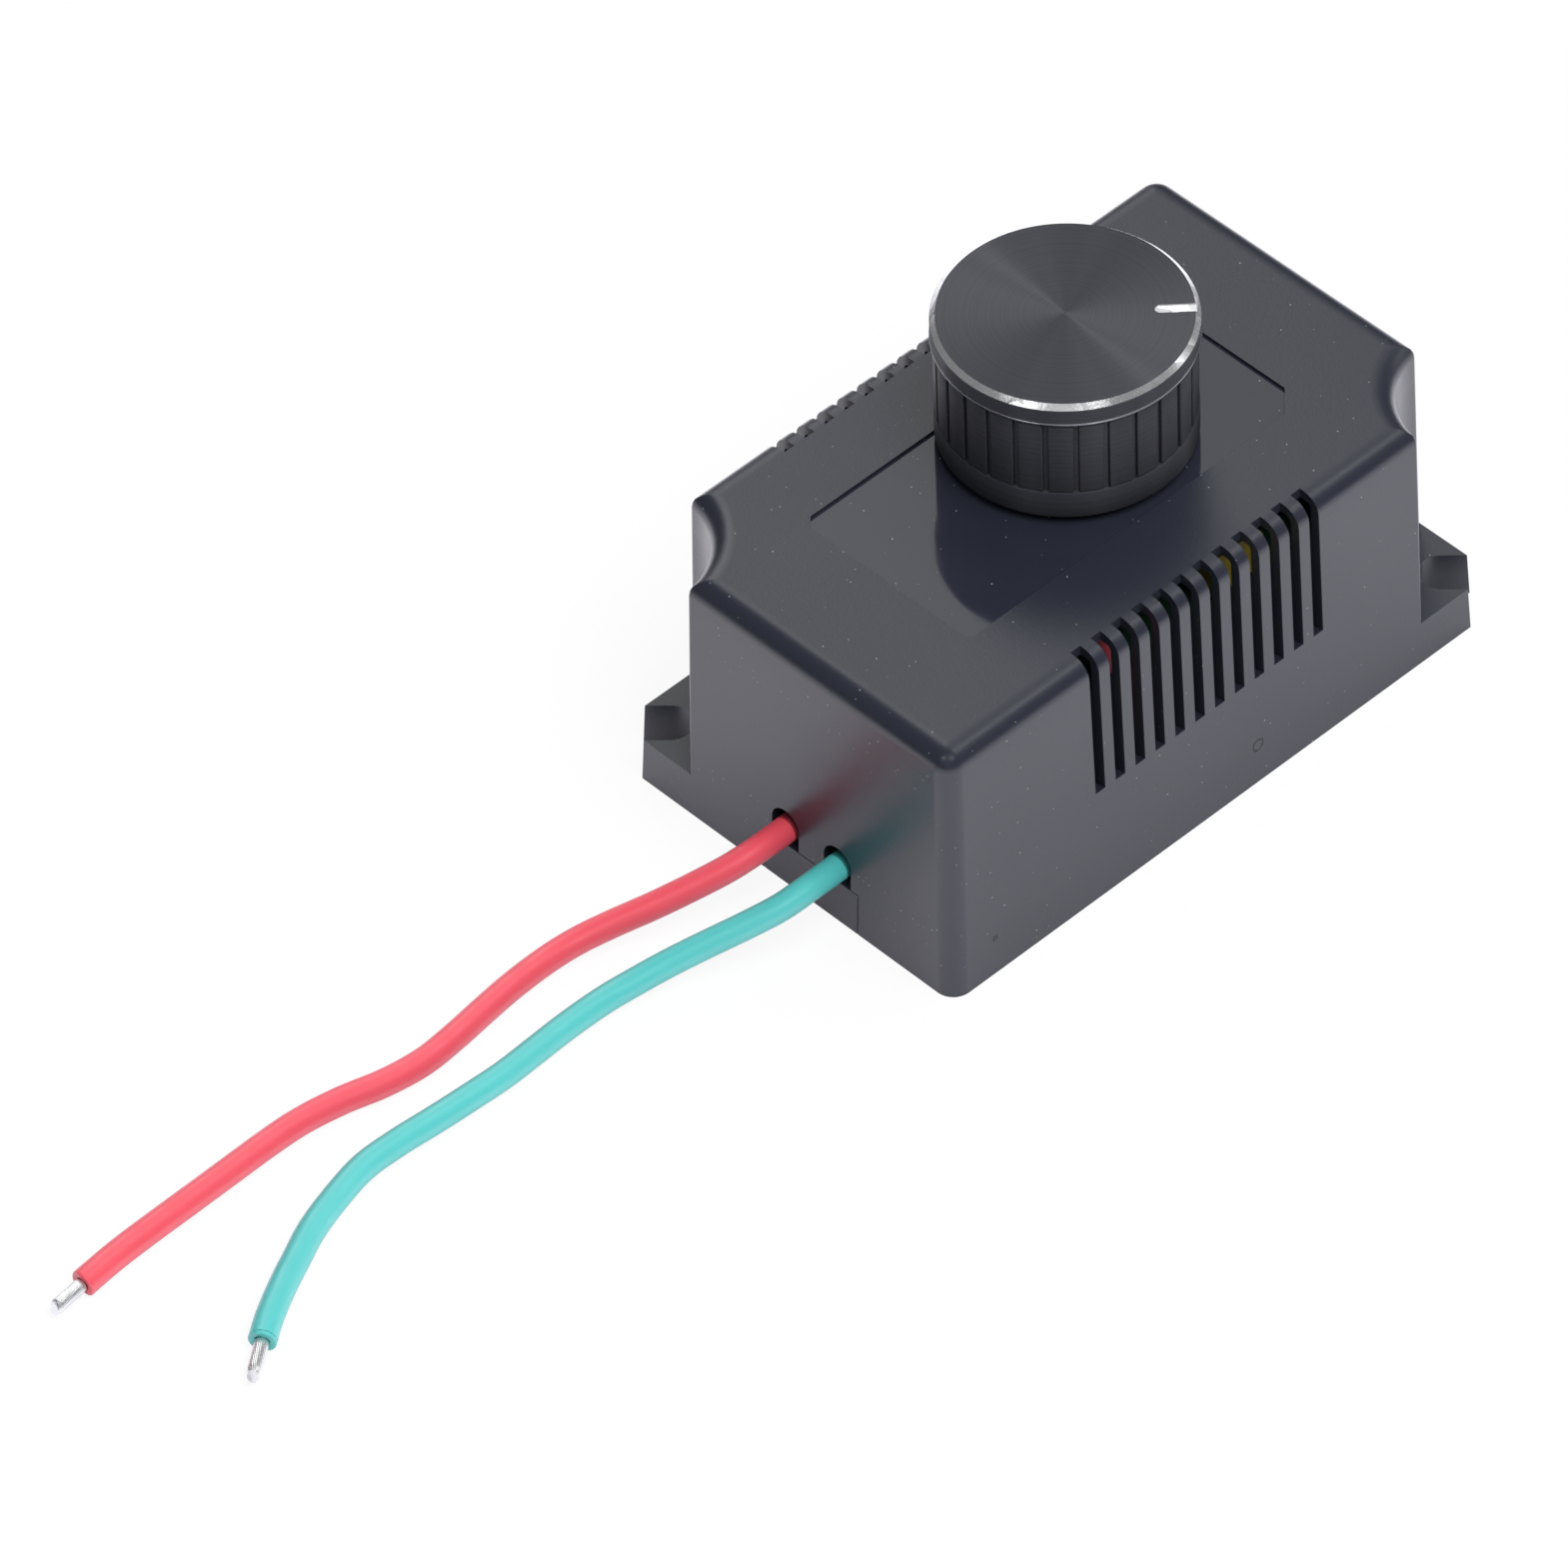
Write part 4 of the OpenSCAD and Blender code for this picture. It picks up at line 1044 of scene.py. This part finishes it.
class CONTROLLER_OT_case(ControllerOperator, bpy.types.Operator):
    """Makes the moulded case with its slots, ears, recess and lead openings."""

    bl_idname = "controller.case"
    bl_label = "Case"

    def execute(self, context):
        case = context.scene.controller_case
        abs_plastic = case_abs(case)
        materials = [abs_plastic, polished_abs(case)]
        piece = build_case(case, context.scene.controller_knob, materials)
        subtract(piece, arch_cutter(case))
        smooth(piece, 40)
        weights = piece.modifiers.new("Weights", "WEIGHTED_NORMAL")
        weights.keep_sharp = True
        bake_modifiers(piece)
        ride(piece, "case", "upper_case")
        dress("base_cover", abs_plastic)
        dress("cover_screws", bright_metal("Zinc-plated steel", linear("#c4c6c9"), 0.28, 0.4))
        return {"FINISHED"}


class CONTROLLER_OT_knob(ControllerOperator, bpy.types.Operator):
    """Makes the knob's turned shell, its pads and the pointer line."""

    bl_idname = "controller.knob"
    bl_label = "Knob"

    def execute(self, context):
        knob = context.scene.controller_knob
        side, face, bare = anodised_side(knob), anodised_face(knob), diamond_cut(knob)
        # A light anodised colour: a painted highlight on the bead and on the pads' broken edges.
        painted_edge_highlight = bright_metal("Burnished anodised edge", linear("#95979c"), 0.18, 0.5)
        centre = (knob.x, knob.y, knob.z)
        shell = revolve("knob_turned_shell", knob_profile(knob), centre, [side, face, bare, painted_edge_highlight])
        subtract(shell, pointer_cutter(knob, bare))
        step = 2 * math.pi / knob.flutes
        chord = 2 * knob.pad * math.tan(step / 2) - knob.groove
        # The pads end short of the band, whose shadow would hide their upper edges.
        low, high = knob.foot_band + 0.1 * MM, knob.height - knob.top_band - 0.4 * MM
        grip = run_tree("knob_grip", grip_tree(side), {
            "Pads": knob.flutes, "Distance": knob.pad, "Pad width": chord,
            "Pad depth": 0.6 * MM, "Height": high - low,
        })
        turn = Matrix.Rotation(knob.flute_turn + step / 2, 4, "Z")
        grip.data.transform(Matrix.Translation((knob.x, knob.y, knob.z + low)) @ turn)
        ease = grip.modifiers.new("Broken edges", "BEVEL")
        ease.width, ease.segments, ease.limit_method = 0.13 * MM, 3, "ANGLE"
        # These broken edges get the light colour: a painted highlight.
        grip.data.materials.append(painted_edge_highlight)
        ease.material = 1
        bake_modifiers(grip)
        for piece in (shell, grip):
            smooth(piece, 30)
            ride(piece, "knob", "knob_shell")
        return {"FINISHED"}


# Finish, colour, roughness, grain in millimetres, how much darker its mottling is, and nodes
PLAIN_BODIES = (
    ("Moulded nylon", "#1d1e20", 0.45, 0.4, 0.15, ["knob_core", "triac_package"]),
    ("Moulded acetal", "#e9e4d2", 0.4, 0.5, 0.08, ["pot_rotor"]),
    ("Paper laminate", "#8a6a3c", 0.5, 0.6, 0.15, ["pot_track"]),
    ("Moulded phenolic", "#3a2f28", 0.5, 0.5, 0.15, ["pot_housing"]),
    # The next two are darker than real, with painted shade, for the same reason as the leads inside the
    # case.
    ("Solder mask", "#1f3b2a", 0.35, 0.9, 0.25, ["circuit_board"]),
    ("Yellow lacquer", "#8a7c26", 0.3, 0.9, 0.15, ["yellow_capacitor"]),
    ("Grey polyester box", "#5f6470", 0.4, 0.6, 0.15, ["film_capacitor"]),
    ("Red dipped film", "#9c3b32", 0.3, 0.8, 0.15, ["timing_capacitor"]),
    ("Resistor lacquer", "#c8b48a", 0.35, 0.5, 0.15, ["resistors"]),
    ("Blue lacquer", "#3f6fae", 0.25, 0.5, 0.15, ["diac"]),
)
# Finish, colour, roughness, grain in millimetres and node
BRIGHT_METALS = (
    ("Turned aluminium", "#c9cbce", 0.3, 0.2, "pot_shaft"),
    ("Spring brass", "#c79a4b", 0.3, 0.3, "pot_wiper"),
    ("Nickel-plated brass", "#c9cbce", 0.25, 0.3, "pot_bushing"),
    ("Extruded aluminium", "#d0d2d4", 0.38, 0.6, "heat_sink"),
)
SHARED_FINISHES = {
    "Tinned copper": (
        "pot_terminals", "triac_metal", "film_capacitor_pins", "yellow_capacitor_pins",
        "resistor_wires", "diac_wires", "solder_joints",
    ),
    "Zinc-plated steel": ("pot_washer", "pot_nut", "heat_sink_screw"),
}


class CONTROLLER_OT_inner_parts(ControllerOperator, bpy.types.Operator):
    """Gives the potentiometer, the board and what stands on it their materials."""

    bl_idname = "controller.inner_parts"
    bl_label = "Inner parts"

    def execute(self, context):
        for finish, colour, rough, grain, contrast, nodes in PLAIN_BODIES:
            made = plain_body(finish, linear(colour), rough, grain, contrast)
            for name in nodes:
                dress(name, made)
        for finish, colour, rough, grain, name in BRIGHT_METALS:
            dress(name, bright_metal(finish, linear(colour), rough, grain))
        for finish, nodes in SHARED_FINISHES.items():
            for name in nodes:
                dress(name, bpy.data.materials[finish])
        return {"FINISHED"}


def paper_floor(stage):
    """White paper, overexposed, so that what mirrors it sees more than white."""
    made, tree, here = start_material("White paper floor")
    rays = add_node(tree, "ShaderNodeLightPath").outputs
    glossy = rays["Is Glossy Ray"]
    fibres = uneven(tree, noise(tree, here, 1.5, 3.0), 0.0, 0.03)
    tone = blend_colours(tree, fibres, stage.floor, [c * 0.9 for c in stage.floor])
    paper = output(tree, "ShaderNodeBsdfDiffuse", {"Color": tone})
    # Seen in reflections the floor's glow is painted: painted shade close to the object, and a painted
    # glow that fades further off, as if the lamps lit it only round the object.
    sky = output(tree, "ShaderNodeAmbientOcclusion", {"Distance": 40 * MM}, "AO", samples=4)
    shade = spread(tree, sky, 0.0, 0.9, 0.05, 1.7)
    off = vectors(tree, "LENGTH", here, pick="Value")
    lit = maths(tree, "MULTIPLY", shade, spread(tree, off, 120 * MM, 400 * MM, 1.0, 0.2))
    over = maths(tree, "ADD", maths(tree, "MULTIPLY", glossy, maths(tree, "SUBTRACT", lit, 1.0)), 1.0)
    # Seen in reflections the painted glow is slightly cool.
    cool = blend_colours(tree, glossy, (1, 1, 1), (0.985, 0.96, 1.045))
    glow = output(tree, "ShaderNodeEmission", {"Color": cool, "Strength": over})
    share = 0.0
    for ray, part in (("Is Camera Ray", 0.9), ("Is Glossy Ray", 0.9), ("Is Transmission Ray", 0.8)):
        share = maths(tree, "MAXIMUM", share, maths(tree, "MULTIPLY", rays[ray], part))
    mixed = output(tree, "ShaderNodeMixShader", {0: share, 1: paper, 2: glow})
    add_node(tree, "ShaderNodeOutputMaterial", {"Surface": mixed})
    reach = 1500 * MM
    corners = [(-reach, -reach, 0), (reach, -reach, 0), (reach, reach, 0), (-reach, reach, 0)]
    return mesh_object("floor", corners, [(0, 1, 2, 3)], [made])


# A wide dim softbox and a smaller bright one hang above and behind, with a narrow strip along
# Y, a small box low on the right and a dim one behind the camera. Each fades out round its
# centre: centre and width along X, then along Y, of the direction it lies in, and strength.
SOFTBOXES = (
    (0.44, 0.23, 0.28, 0.36, 1.0), (0.37, 0.13, 0.66, 0.16, 3.7),
    (0.47, 0.035, -0.2, 0.22, 8.0), (0.77, 0.13, -0.42, 0.18, 1.6),
    (-0.43, 0.3, -0.45, 0.3, 0.4),
)
DIM_SKY = 0.1
# Place in metres, power in watts, width in metres and whether it is mirrored
LAMPS = {
    "left_strip": ((-0.793, -0.129, 1.023), 1.0, 0.32, True),
    "right_strip": ((-0.189, -0.753, 1.043), 1.0, 0.32, True),
    "fill_lamp": ((-0.1, -0.7, 1.5), 24.0, 1.0, False),
}


def studio_world():
    """The sky with its softboxes. The camera sees it white, and it ends at the floor."""
    world = bpy.data.worlds.new("Studio")
    world.use_nodes = True
    tree = world.node_tree
    tree.nodes.clear()
    way = output(tree, "ShaderNodeTexCoord", pick="Generated")
    x, y, z = add_node(tree, "ShaderNodeSeparateXYZ", {0: way}).outputs
    sky = DIM_SKY
    for centre_x, width_x, centre_y, width_y, strength in SOFTBOXES:
        across = maths(
            tree, "MULTIPLY", bell(tree, x, centre_x, width_x), bell(tree, y, centre_y, width_y)
        )
        sky = maths(tree, "ADD", maths(tree, "MULTIPLY", across, strength), sky)
    sky = maths(tree, "MULTIPLY", sky, maths(tree, "GREATER_THAN", z, 0.0))
    seen = output(tree, "ShaderNodeLightPath", pick="Is Camera Ray")
    inputs = {"Strength": maths(tree, "MAXIMUM", sky, seen), "Color": (1, 1, 1, 1)}
    light = output(tree, "ShaderNodeBackground", inputs)
    add_node(tree, "ShaderNodeOutputWorld", {"Surface": light})
    return world


class CONTROLLER_OT_stage(ControllerOperator, bpy.types.Operator):
    """Makes the floor, the backdrop light and the studio lamps."""

    bl_idname = "controller.stage"
    bl_label = "Stage"

    def execute(self, context):
        context.scene.view_settings.view_transform = "Standard"
        paper_floor(context.scene.controller_stage)
        context.scene.world = studio_world()
        for name, (spot, power, width, mirrored) in LAMPS.items():
            data = bpy.data.lights.new(name, "AREA")
            data.energy, data.size = power, width
            lamp = put_in_scene(name, data)
            lamp.location = spot
            lamp.rotation_euler = (-Vector(spot)).to_track_quat("-Z", "Y").to_euler()
            lamp.visible_glossy = mirrored
        return {"FINISHED"}


class CONTROLLER_PT_panel(bpy.types.Panel):
    """Lists the steps in the order in which they run."""

    bl_idname = "CONTROLLER_PT_panel"
    bl_label = "Motor speed controller"
    bl_space_type = "VIEW_3D"
    bl_region_type = "UI"
    bl_category = "Controller"

    def draw(self, context):
        for step in STEPS:
            self.layout.operator(step.bl_idname)


GROUPS = {
    "controller_case": CaseSizes,
    "controller_knob": KnobSizes,
    "controller_leads": LeadSizes,
    "controller_stage": StageSettings,
}
STEPS = (
    CONTROLLER_OT_camera,
    CONTROLLER_OT_leads,
    CONTROLLER_OT_case,
    CONTROLLER_OT_knob,
    CONTROLLER_OT_inner_parts,
    CONTROLLER_OT_stage,
)


def register():
    for name, group in GROUPS.items():
        bpy.utils.register_class(group)
        setattr(bpy.types.Scene, name, bpy.props.PointerProperty(type=group))
    for step in (*STEPS, CONTROLLER_PT_panel):
        bpy.utils.register_class(step)


def unregister():
    for step in (CONTROLLER_PT_panel, *reversed(STEPS)):
        bpy.utils.unregister_class(step)
    for name, group in GROUPS.items():
        delattr(bpy.types.Scene, name)
        bpy.utils.unregister_class(group)


def main():
    register()
    for step in STEPS:
        getattr(bpy.ops.controller, step.bl_idname.split(".")[1])()


if __name__ == "__main__":
    main()
